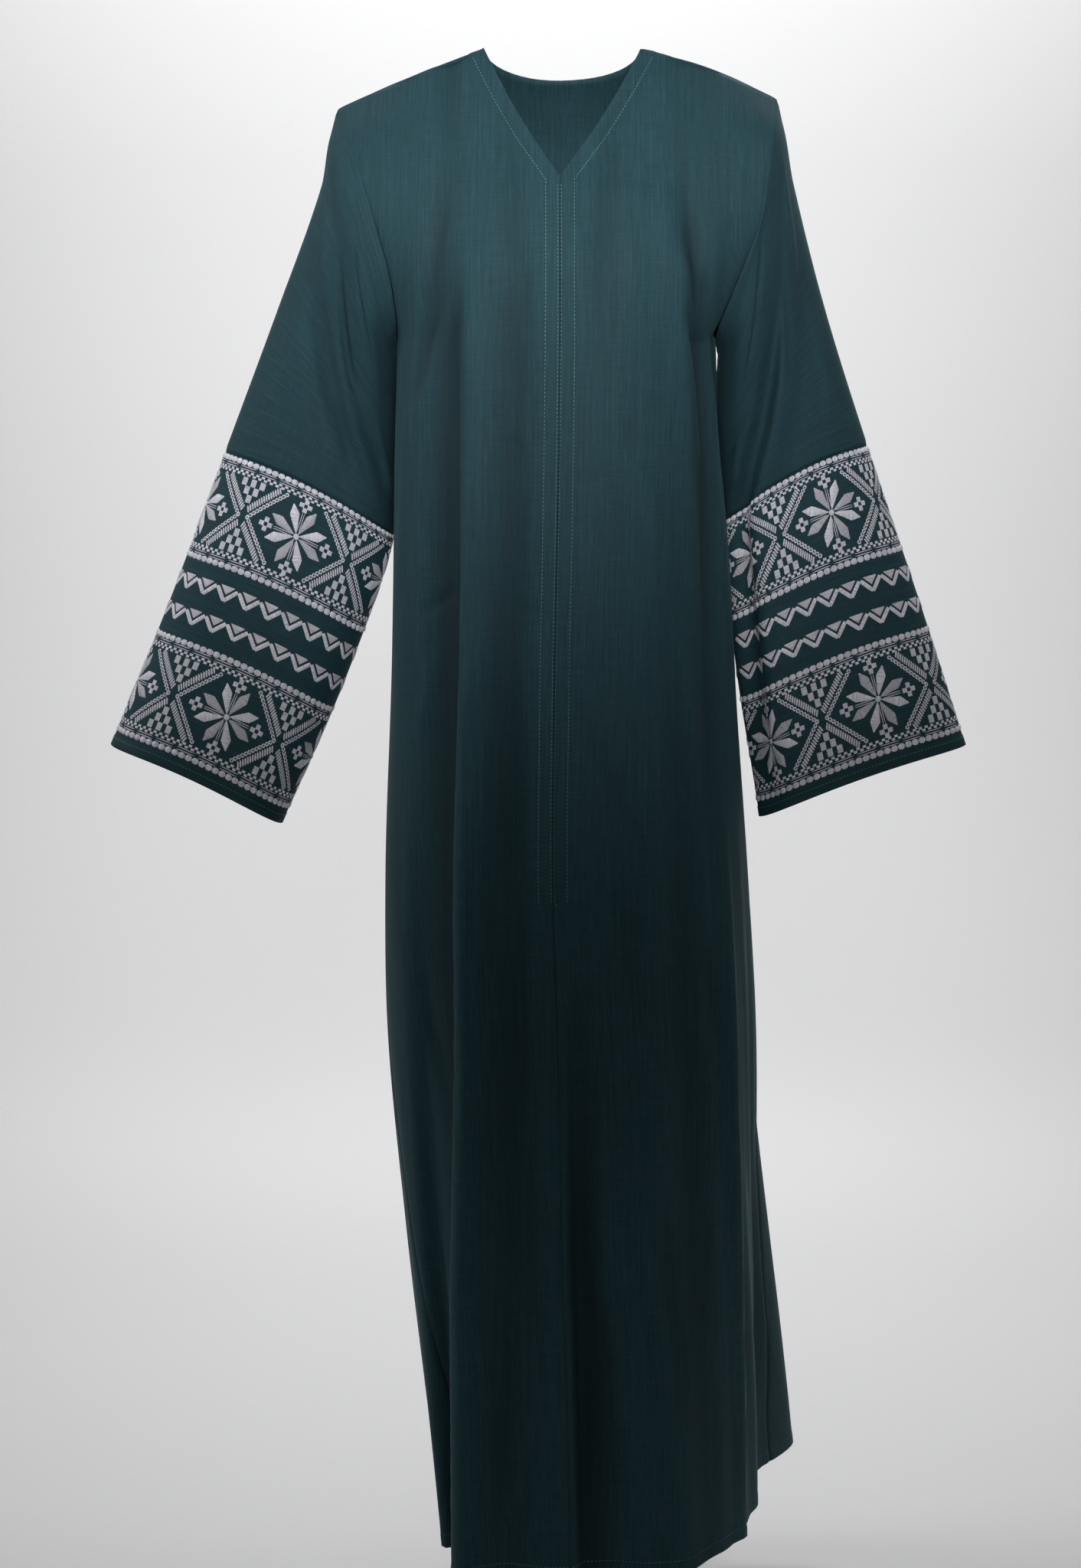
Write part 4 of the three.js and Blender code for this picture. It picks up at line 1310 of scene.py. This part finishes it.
class Pad:
    """A small raised shape made from a grid: its flat places, its height and its faces, in mm."""

    def __init__(self, steps, outline, height, sink=0.25, crisp=1.0):
        mesh = bmesh.new()
        bmesh.ops.create_grid(mesh, x_segments=steps[0], y_segments=steps[1], size=1)
        mesh.verts.index_update()
        places = np.array([vert.co[:2] for vert in mesh.verts])
        self.faces = np.array([[vert.index for vert in face.verts] for face in mesh.faces])
        mesh.free()
        x, y = np.sign(places.T) * np.abs(places.T) ** crisp
        self.x, self.y = outline(x, y)
        self.smooth = crisp > 0.45
        rim = np.abs(places).max(axis=1)
        self.lift = height * (1 - rim**3) - sink * rim**3


def bar(length, width):
    """A straight stitch with rounded ends."""
    return lambda x, y: (x * length / 2, y * width / 2 * (1 - 0.12 * x**4))


def oval(length, width):
    def outline(x, y):
        return x * np.sqrt(1 - y**2 / 2) * length / 2, y * np.sqrt(1 - x**2 / 2) * width / 2

    return outline


def joined(name, points, faces, thread, tone, smooth, material):
    """One mesh object from arrays of many small pads, with a UV map along the thread."""
    data = bpy.data.meshes.new(name)
    data.from_pydata((points * MM).tolist(), [], faces.tolist())
    layer = data.uv_layers.new(name="thread")
    layer.data.foreach_set("uv", (thread[faces.ravel()] * MM).ravel().astype(np.float32))
    shine = data.attributes.new("tone", "FLOAT", "POINT")
    shine.data.foreach_set("value", tone.astype(np.float32))
    data.polygons.foreach_set("use_smooth", smooth)
    piece = bpy.data.objects.new(name, data)
    bpy.context.scene.collection.objects.link(piece)
    data.materials.append(material)
    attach(piece, "root")
    print(name, "pads' faces:", len(faces))
    return piece


# %% Lines to sew along
STITCH = Pad((3, 2), bar(2.8, 1.15), 0.35)
STITCH_PITCH = 3.6


def line_up(cloth, across, first, last):
    """A line up the cloth at one distance from its centre, between two rows."""
    line = []
    for row in range(first, last):
        order = np.argsort(cloth.across[row])
        values = np.hstack([cloth.points[row], cloth.normals[row]])[order]
        line.append([np.interp(across, cloth.across[row][order], values[:, k]) for k in range(6)])
    return np.array(line)


def line_round(cloth, row):
    """A line along the cloth at one row, whole or between two rows."""
    low = int(row)
    values = np.concatenate([cloth.points, cloth.normals], axis=2)
    return blend(values[low], values[low + 1], row - low)


def line_below_neck(cloth, distance, columns):
    """A line at one distance below the top edge of the cloth."""
    line = []
    for k in columns:
        values = np.hstack([cloth.points[:, k], cloth.normals[:, k]])
        at = cloth.down[-1, k] - distance
        line.append([np.interp(at, cloth.down[:, k], values[:, i]) for i in range(6)])
    return np.array(line)


def sew(line, pitch=STITCH_PITCH, pad=STITCH):
    """The points of stitches set along a line of places and outward directions."""
    lengths = path_lengths(line[:, :3])
    middles = np.arange(pitch, lengths[-1] - pitch / 2, pitch)

    def at(distance):
        return np.column_stack([np.interp(distance, lengths, line[:, k]) for k in range(6)])

    middle = at(middles)
    ahead = at(middles + 1)[:, :3] - at(middles - 1)[:, :3]
    ahead /= np.linalg.norm(ahead, axis=1, keepdims=True)
    out = middle[:, 3:] / np.linalg.norm(middle[:, 3:], axis=1, keepdims=True)
    side = np.cross(out, ahead)
    parts = [middle[:, None, :3], ahead[:, None] * pad.x[:, None], side[:, None] * pad.y[:, None]]
    return sum(parts) + out[:, None] * pad.lift[:, None]


def stitches(name, lines, material):
    """All the stitches of one shell as one object."""
    points = np.concatenate([sew(line) for line in lines])
    copies = len(points)
    count = len(STITCH.x)
    faces = (STITCH.faces[None] + np.arange(copies)[:, None, None] * count).reshape(-1, 4)
    thread = np.tile(np.column_stack([STITCH.x, STITCH.y]), (copies, 1))
    tone = np.repeat(np.random.default_rng(5).uniform(0.85, 1.05, copies), count)
    smooth = np.full(len(faces), True)
    flat = points.reshape(-1, 3)
    return joined(name, flat, faces, thread, tone, smooth, material)


print("faces of a stitch:", len(STITCH.faces))

# %% [markdown]
# Thread finishes
#
# Thread is smoother than cloth and catches the light along its strands. All three threads share
# one recipe: fine ridges across the pad from its own UV map, a little colour change from strand
# to strand, and each pad's own tone, which darkens its colour. The tone is partly a random change
# from pad to pad and partly painted sheen, because satin stitches look brighter or greyer as they
# turn.

# %% Threads
STRAND = 0.00055


def spun(name, pale, dark, roughness, sheen):
    finish = Finish(name, roughness=roughness, specular=0.45)
    place = finish.node("ShaderNodeUVMap", {"uv_map": "thread"})
    tone = finish.node("ShaderNodeAttribute", {"attribute_name": "tone"}, output=2)
    strands = finish.noise(place, (1 / STRAND, 90), detail=1)
    fleck = finish.levels(strands, 0.30, 0.62)
    worn = finish.mix(fleck * 0.75 + 0.25, dark, pale)
    black = (0.0, 0.0, 0.0, 1)
    # The tone darkens the colour: partly a random change, partly painted sheen.
    finish.feed("Base Color", finish.mix(finish.levels(tone, 0.0, 1.0), black, worn))
    finish.feed("Roughness", roughness + 0.2 - fleck * 0.2)
    sockets = {"Strength": 0.5, "Distance": 0.0003, "Height": strands}
    finish.feed("Normal", finish.node("ShaderNodeBump", {}, sockets))
    finish.fixed("Sheen Weight", sheen)
    return finish.material


SEWING_THREAD = spun("sewing_thread", (0.08, 0.23, 0.18, 1), (0.035, 0.11, 0.095, 1), 0.55, 0.1)
WHITE_THREAD = spun("silver_white_thread", (0.88, 0.87, 0.94, 1), (0.31, 0.31, 0.39, 1), 0.4, 0.2)
NAVY_THREAD = spun("navy_thread", (0.016, 0.019, 0.042, 1), (0.005, 0.006, 0.014, 1), 0.45, 0.1)
print("thread nodes:", len(WHITE_THREAD.node_tree.nodes))

# %% Sew the gown
PLACKET_ROWS = {"front_right": (-12.7, -1.5), "front_left": (1.5, 13.5)}
PLACKET_BAR_HALF = 6
NECK_STITCH = 12
HEM_STITCH_ROW = HEM_DEPTH / (HEM_ROWS[1] - HEM_ROWS[0])
CUFF_STITCH = 8
PLACKET_ROW = int(np.searchsorted(SKIRT_LEVELS, PLACKET_END_Z))
V_ROW_AT = UNDERARM_ROW + int(round(V_ROW * (len(YOKE_UPS) - 1)))
TOP_ROW = UNDERARM_ROW + len(YOKE_UPS) - 1
NECK_START = int(np.argmin(np.abs(SIDE_TO_BACK - NECK_SHARE)))

SEWING = {}
for name, rows in PLACKET_ROWS.items():
    cloth = BODY_CLOTH[name]
    ends = {at: TOP_ROW if abs(at) > LAP_EDGE else V_ROW_AT for at in rows}
    lines = [line_up(cloth, at, PLACKET_ROW, end) for at, end in ends.items()]
    bar_line = line_round(cloth, PLACKET_ROW)
    lines.append(bar_line[np.abs(cloth.across[PLACKET_ROW]) < PLACKET_BAR_HALF])
    lines.append(line_round(cloth, HEM_STITCH_ROW))
    SEWING[name] = stitches("stitches_" + name, lines, SEWING_THREAD)
back = BODY_CLOTH["back"]
neck_columns = range(NECK_START, back.points.shape[1] - NECK_START)
lines = [line_round(back, HEM_STITCH_ROW), line_below_neck(back, NECK_STITCH, neck_columns)]
SEWING["back"] = stitches("stitches_back", lines, SEWING_THREAD)
for name in PANELS:
    cloth = SLEEVE_CLOTH[name]
    cuff_row = np.interp(SLEEVE_LENGTH - CUFF_STITCH, PANEL_ALONGS, np.arange(len(PANEL_ALONGS)))
    SEWING[name] = stitches("stitches_" + name, [line_round(cloth, cuff_row)], SEWING_THREAD)

# %% [markdown]
# The embroidered ends
#
# Each sleeve ends in a border of a widespread folk kind: two bands of eight-pointed stars in a
# lattice, with two zigzags between. It is drawn here from its own few measures, as an
# embroiderer charts it, and repeats every 111 mm round the arm until the underarm seam cuts it.
# The chart is flat, and one function lays any flat place on the curved cloth.

# %% Places on a sleeve end
REPEAT = 111
PANEL_GIRTH = 470
FIRST_STAR = {"sleeve_panel_right": 121, "sleeve_panel_left": 87}
UNDERARM_AT = {"sleeve_panel_right": 243, "sleeve_panel_left": 232}
BAND_CENTRES = (PANEL_START + 51.5, PANEL_START + 225)


def on_panel(cloth, around, down, height):
    """Places on a sleeve end from millimetres round it, down it and above its cloth."""
    rows, columns = cloth.points.shape[0], cloth.points.shape[1] - 1
    column = (around / PANEL_GIRTH % 1) * columns
    row = np.interp(down, cloth.down[:, 0], np.arange(rows))
    c, r = column.astype(int) % columns, np.minimum(row.astype(int), rows - 2)
    s, t = (column - column.astype(int))[:, None], (row - r)[:, None]

    def at(values):
        upper = blend(values[r, c], values[r, c + 1], s)
        lower = blend(values[r + 1, c], values[r + 1, c + 1], s)
        return blend(upper, lower, t)

    return at(cloth.points) + at(cloth.normals) * height[:, None]


class Embroidery:
    """The pads of one thread on one sleeve end, laid by their flat places and then joined."""

    def __init__(self, name):
        self.name = name
        self.cloth = SLEEVE_CLOTH[name]
        self.seam = UNDERARM_AT[name]
        self.laid = []
        self.dice = random.Random(name)

    def lay(self, pad, around, down, turn=0, tone=1.0):
        if self.seam - PANEL_GIRTH < around < self.seam:
            self.laid.append((pad, around, down, math.radians(turn), tone))

    def piece(self, thread, slot, material):
        points, faces, threads, tones, smooth, first = [], [], [], [], [], 0
        for pad, around, down, turn, tone in self.laid:
            x = around + pad.x * math.cos(turn) - pad.y * math.sin(turn)
            y = down + pad.x * math.sin(turn) + pad.y * math.cos(turn)
            points.append(np.column_stack([x, y, pad.lift]))
            threads.append(np.column_stack([pad.x, pad.y]) + self.dice.uniform(0, 50))
            faces.append(pad.faces + first)
            smooth.append(np.full(len(pad.faces), pad.smooth))
            tones.append(np.full(len(x), tone * self.dice.uniform(0.93, 1.0)))
            first += len(x)
        x, y, lift = np.concatenate(points).T
        x = np.clip(x, self.seam - PANEL_GIRTH + 0.4, self.seam - 0.4)
        y = np.clip(y, PANEL_START + 0.6, SLEEVE_LENGTH - 1)
        faces = np.concatenate(faces)
        if self.cloth.outside < 0:
            faces = faces[:, ::-1]
        places = on_panel(self.cloth, x, y, lift)
        full = "embroidery_" + thread + self.name.replace("sleeve_panel", "")
        threads, tones, smooth = (np.concatenate(each) for each in (threads, tones, smooth))
        return joined(full, places, faces, threads, tones, smooth, material)


print("bands centred at:", BAND_CENTRES, "mm down the sleeve")

# %% [markdown]
# The shapes of the stitches
#
# Fifteen pads make the whole border. Satin stitch is a smooth raised pad, so beads, petals, blocks
# and strokes are grids shaped by an outline. The chain is a row of tiny rings, each a grid bent
# round. They stay at a few dozen faces each, because the border repeats them thousands of times.

# %% Pads of the border


def petal(length, width):
    """Pointed at both ends and widest past the middle."""

    shares, widths = [0, 0.55, 0.66, 0.82, 1], [0.06, 0.86, 1, 0.48, 0.02]

    def outline(x, y):
        return x * length / 2, y * width / 2 * np.interp((x + 1) / 2, shares, widths)

    return outline


def spike(length, width):
    """A triangle from a flat base to a point."""
    return lambda x, y: (x * length / 2, y * width / 2 * (1 - x) / 2 + 0.02 * y)


def ring_link(outer, inner):
    def outline(x, y):
        radius = blend(inner, outer, (y + 1) / 2)
        return radius * np.cos(-math.pi * x), radius * np.sin(-math.pi * x)

    return outline


BEAD = Pad((4, 4), oval(7.2, 6.0), 1.1, crisp=0.6)
DASH = Pad((3, 3), bar(3.4, 2.5), 0.4, sink=0.1, crisp=0.2)
THIN = Pad((8, 2), bar(22.5, 1.2), 0.4)
LINK = Pad((8, 2), ring_link(2.2, 0.7), 0.6, sink=0.1)
SLANT = Pad((4, 2), bar(7.0, 2.2), 0.5, sink=0.15, crisp=0.6)
PETAL = Pad((10, 4), petal(29.5, 11), 0.8, crisp=0.8)
PETAL_EDGE = Pad((10, 2), petal(31.5, 14), 0.3, sink=0.2)
RAY = Pad((6, 2), bar(22, 1.2), 0.45)
LOBE = Pad((3, 3), bar(5.0, 4.8), 0.45, sink=0.1, crisp=0.2)
DOT = Pad((3, 3), oval(3.4, 3.4), 0.5, crisp=0.5)
HEART = Pad((4, 4), oval(6.0, 6.0), 1.0, crisp=0.6)
BLOCK = Pad((3, 3), bar(7.6, 6.0), 0.45, sink=0.1, crisp=0.15)
STROKE = Pad((6, 3), bar(16.8, 4.4), 0.8, crisp=0.6)
NAVY_STROKE = Pad((5, 2), bar(12.6, 2.2), 0.5)
PENNANT = Pad((4, 4), spike(8.2, 16), 0.5, sink=0.1, crisp=0.4)
print("faces of a bead:", len(BEAD.faces), "and of a petal:", len(PETAL.faces))

# %% [markdown]
# The chart
#
# Every measure is taken from the star's centre: the lattice crosses half a repeat away on each
# side, its arms run up and down to the edges of the field, and beads, lines and a chequer close
# the band above and below. Between the arms stand small stepped pyramids.

# %% Edges of a band
BEAD_PITCH = REPEAT / 16
DASH_PITCH = REPEAT / 18
LINE_PITCH = REPEAT / 5
BEAD_ROW, LINE_ROWS, NAVY_ROW, DASH_ROWS = 47.9, (44.2, 41.9), 43.05, (39.6, 37.2)


def edges(white, navy, star, centre):
    for side in (-1, 1):
        for k in range(16):
            white.lay(BEAD, star + (k - 7.5) * BEAD_PITCH, centre + side * BEAD_ROW)
        for k in range(5):
            for row in LINE_ROWS:
                white.lay(THIN, star + (k - 2) * LINE_PITCH, centre + side * row)
            navy.lay(THIN, star + (k - 2) * LINE_PITCH, centre + side * NAVY_ROW)
        for k in range(18):
            for row, shift in zip(DASH_ROWS, (0.25, 0.75)):
                around = star + (k - 9 + shift) * DASH_PITCH
                white.lay(DASH, around, centre + side * row)


# %% Star
PETAL_OUT = 16.8
CROSS_OUT = {0: 31.2, 90: 30.2, 180: 31.2, 270: 30.2}
LOBE_OUT = 4.1
RAY_OUT, RAY_ASIDE = 14, 0.95


def star_motif(white, navy, star, centre):
    for k in range(8):
        turn = 22.5 + 45 * k
        out = math.radians(turn)
        around = star + PETAL_OUT * math.cos(out)
        down = centre + PETAL_OUT * math.sin(out)
        # Painted sheen: every other petal is greyer, as satin that turns another way catches less
        # light.
        white.lay(PETAL, around, down, turn, 0.98 if k % 2 else 0.66)
        navy.lay(PETAL_EDGE, around, down, turn)
    white.lay(HEART, star, centre)
    for turn, reach in CROSS_OUT.items():
        out = math.radians(turn)
        cosine, sine = math.cos(out), math.sin(out)
        for aside in (-RAY_ASIDE, RAY_ASIDE):
            around = star + RAY_OUT * cosine - aside * sine
            white.lay(RAY, around, centre + RAY_OUT * sine + aside * cosine, turn, 0.85)
        cross_at, cross_down = star + reach * cosine, centre + reach * sine
        for lobe in range(4):
            lean = math.radians(90 * lobe)
            around = cross_at + LOBE_OUT * math.cos(lean)
            white.lay(LOBE, around, cross_down + LOBE_OUT * math.sin(lean), 90 * lobe, 0.9)
        navy.lay(DOT, cross_at, cross_down)


# %% Lattice and pyramids
ARM_ACROSS, ARM_DOWN = 33, 36
CHAIN_ASIDE, SLANT_ASIDE = 3.6, -2.7
CHAIN_PITCH, SLANT_PITCH = 3.7, 2.6
BLOCK_ROWS = ((16.2, (0,)), (23.8, (-4.9, 4.9)), (31.4, (-9.8, 0, 9.8)))


def lattice(white, star, centre):
    """One crossing, half a repeat before the star, with its four arms and two pyramids."""
    crossing = star - REPEAT / 2
    length = math.hypot(ARM_ACROSS, ARM_DOWN)
    for way in (-1, 1):
        for side in (-1, 1):
            ahead = (way * ARM_ACROSS / length, side * ARM_DOWN / length)
            inward = (way * ARM_DOWN / length, -side * ARM_ACROSS / length)
            turn = math.degrees(math.atan2(ahead[1], ahead[0]))
            for k in range(13):
                at = 3.6 + k * CHAIN_PITCH
                around = crossing + at * ahead[0] + CHAIN_ASIDE * inward[0]
                down = centre + at * ahead[1] + CHAIN_ASIDE * inward[1]
                white.lay(LINK, around, down, turn, 0.92)
            for k in range(17):
                at = 7.5 + k * SLANT_PITCH
                around = crossing + at * ahead[0] + SLANT_ASIDE * inward[0]
                down = centre + at * ahead[1] + SLANT_ASIDE * inward[1]
                if abs(down - centre) < ARM_DOWN - 1.5:
                    white.lay(SLANT, around, down, turn + 90 - 24 * way * side, 0.88)
    for side in (-1, 1):
        for row, places in BLOCK_ROWS:
            for place in places:
                white.lay(BLOCK, crossing + place, centre + side * row, 90, 0.86)


# %% Zigzags
TOOTH = REPEAT / 5
ZIGZAG_CENTRES = (PANEL_START + 123, PANEL_START + 153)
TOOTH_LEAN = 47.5


def zigzag(white, navy, star, centre):
    for k in range(5):
        point = star + (k - 2) * TOOTH
        for way in (-1, 1):
            white.lay(STROKE, point + way * 5.2, centre + 0.6, -way * TOOTH_LEAN, 0.95)
            navy.lay(NAVY_STROKE, point + way * 4.6, centre - 3.0, -way * TOOTH_LEAN)
        white.lay(PENNANT, point, centre - 3.6, 90, 0.8)


# %% Embroider both ends
EMBROIDERY = {}
for name in PANELS:
    white, navy = Embroidery(name), Embroidery(name)
    for k in range(-4, 4):
        star = FIRST_STAR[name] + k * REPEAT
        for centre in BAND_CENTRES:
            edges(white, navy, star, centre)
            star_motif(white, navy, star, centre)
            lattice(white, star, centre)
        for centre in ZIGZAG_CENTRES:
            zigzag(white, navy, star, centre)
    EMBROIDERY[name] = [
        white.piece("white", "thread_white", WHITE_THREAD),
        navy.piece("navy", "thread_navy", NAVY_THREAD),
    ]

# %% [markdown]
# The cut of the cloth
#
# The widths and lengths are estimates for a gown of this size, and the areas follow those of the
# shells, printed below. With its folds the back's shell is 11 cm wider at the hem than its
# estimate, and the sleeves' are 6 to 8 cm wider at the armhole.


def shell_area(cloth):
    """The area of one face of a net, in square metres."""
    p = cloth.points * MM
    a = np.cross(p[1:, 1:] - p[:-1, :-1], p[1:, :-1] - p[:-1, 1:])
    return float(np.linalg.norm(a, axis=2).sum() / 2)


for name, cloth in {**BODY_CLOTH, **SLEEVE_CLOTH}.items():
    print(name, "area:", round(shell_area(cloth), 3), "square metres")

CUTS = table(
    "piece width length area rests_on",
    [
        ("front_right", 0.33, 1.43, 0.345, "back"),
        ("front_left", 0.40, 1.43, 0.43, "back"),
        ("back", 0.72, 1.44, 0.80, "front_left"),
        ("sleeve_right", 0.50, 0.32, 0.125, "front_right"),
        ("sleeve_left", 0.50, 0.32, 0.12, "front_left"),
        ("sleeve_panel_right", 0.50, 0.29, 0.142, "sleeve_right"),
        ("sleeve_panel_left", 0.49, 0.29, 0.138, "sleeve_left"),
    ],
)
for cut in CUTS:
    sewn = [SEWING[cut["piece"]]] if cut["piece"] in SEWING else []
    sewn + EMBROIDERY.get(cut["piece"], [])
print("sheets declared:", len(CUTS))

# %% [markdown]
# Floor, light and camera
#
# A pale floor that sweeps up behind the gown gives a plain ground. A key light in front is aimed
# at the chest, with a narrow spread, so the chest is bright and the skirt falls away into shade.
# Weaker lights fill the hem, the top, the sides and the back, and two more light the floor and
# the wall. The camera stands 2.6 m away, at the height of the chest, and looks down by ten
# degrees, as the picture was taken.

# %% Stage
FLOOR_Z = -1.52
FLOOR_HALF_WIDTH = 7
FLOOR_FRONT, FLOOR_DEPTH = -4.5, 6.5
BEND_START, BEND_END = 0.55, 0.8
BEND_RADIUS = 1.6
WALL_HEIGHT = 3.5


def sweep():
    """A floor that curves up into a wall behind, from one grid."""
    mesh = bmesh.new()
    bmesh.ops.create_grid(mesh, x_segments=4, y_segments=60, size=1)
    for vert in mesh.verts:
        t = (vert.co.y + 1) / 2
        vert.co.x *= FLOOR_HALF_WIDTH
        turn = max(0.0, min(1.0, (t - BEND_START) / (BEND_END - BEND_START))) * math.pi / 2
        flat = min(t, BEND_START) / BEND_START * FLOOR_DEPTH + FLOOR_FRONT
        rise = max(0.0, (t - BEND_END) / (1 - BEND_END)) * WALL_HEIGHT
        vert.co.y = flat + BEND_RADIUS * math.sin(turn)
        vert.co.z = FLOOR_Z + BEND_RADIUS * (1 - math.cos(turn)) + rise
    for face in mesh.faces:
        face.smooth = True
    data = bpy.data.meshes.new("floor")
    mesh.to_mesh(data)
    mesh.free()
    floor = bpy.data.objects.new("floor", data)
    bpy.context.scene.collection.objects.link(floor)
    ground = Finish("pale_floor", roughness=0.85, specular=0.2)
    ground.fixed("Base Color", (0.60, 0.60, 0.605, 1))
    data.materials.append(ground.material)
    return floor


floor = sweep()
print("floor points:", len(floor.data.vertices))

# %% Lights


def soft_light(name, place, target, size, power, spread):
    data = bpy.data.lights.new(name, "AREA")
    data.shape = "RECTANGLE"
    data.size, data.size_y = size
    data.energy = power
    data.spread = math.radians(spread)
    light = bpy.data.objects.new(name, data)
    light.location = place
    aim = Vector(target) - Vector(place)
    light.rotation_euler = aim.to_track_quat("-Z", "Y").to_euler()
    bpy.context.scene.collection.objects.link(light)


LIGHTS = table(
    "name place target size power spread",
    [
        ("key", (0.0, -1.9, 0.40), (-0.04, -0.1, -0.03), (0.6, 0.5), 2.5, 36),
        ("skirt_light", (0.05, -2.0, -0.6), (-0.06, 0, -1.32), (0.7, 0.5), 0.24, 48),
        ("top_light", (0.0, -0.9, 0.95), (0, -0.1, -0.4), (0.9, 0.5), 1.0, 150),
        ("fill_left", (-2.3, 0.1, 0.7), (-0.15, 0.1, -0.45), (0.9, 0.9), 3.5, 70),
        ("fill_right", (2.3, 0.3, 0.7), (0.15, 0.1, -0.45), (0.9, 0.9), 1.2, 70),
        ("back_light", (0.5, 2.0, 1.2), (0, 0.1, -0.5), (1.6, 1.2), 12, 100),
        ("wall_light", (0, 1.5, 1.9), (0, 3.6, 0.5), (3.4, 0.8), 82, 130),
        ("floor_light", (0, 1.3, 1.6), (0, 1.2, -1.5), (2.5, 0.8), 20, 90),
    ],
)
for lamp in LIGHTS:
    soft_light(**lamp)
print("lights:", len(LIGHTS))

world = bpy.data.worlds.new("studio")
world.use_nodes = True
world.node_tree.nodes["Background"].inputs["Color"].default_value = (0.95, 0.97, 1.0, 1)
world.node_tree.nodes["Background"].inputs["Strength"].default_value = 0.06
bpy.context.scene.world = world

# %% Camera
PHOTO_HEIGHT = 2048
FOCAL_PIXELS = 3577
SENSOR = 36
LOOK_DOWN = 10.27
camera_data = bpy.data.cameras.new("camera")
camera_data.sensor_fit = "VERTICAL"
camera_data.sensor_height = SENSOR
camera_data.sensor_width = SENSOR
camera_data.lens = FOCAL_PIXELS / PHOTO_HEIGHT * SENSOR
camera = bpy.data.objects.new("camera", camera_data)
camera.location = (-0.017, -2.6, -0.19)
camera.rotation_euler = (math.radians(90 - LOOK_DOWN), 0, 0)
bpy.context.scene.collection.objects.link(camera)
bpy.context.scene.camera = camera
bpy.context.scene.view_settings.view_transform = "Standard"
print("lens:", round(camera_data.lens, 1), "mm")
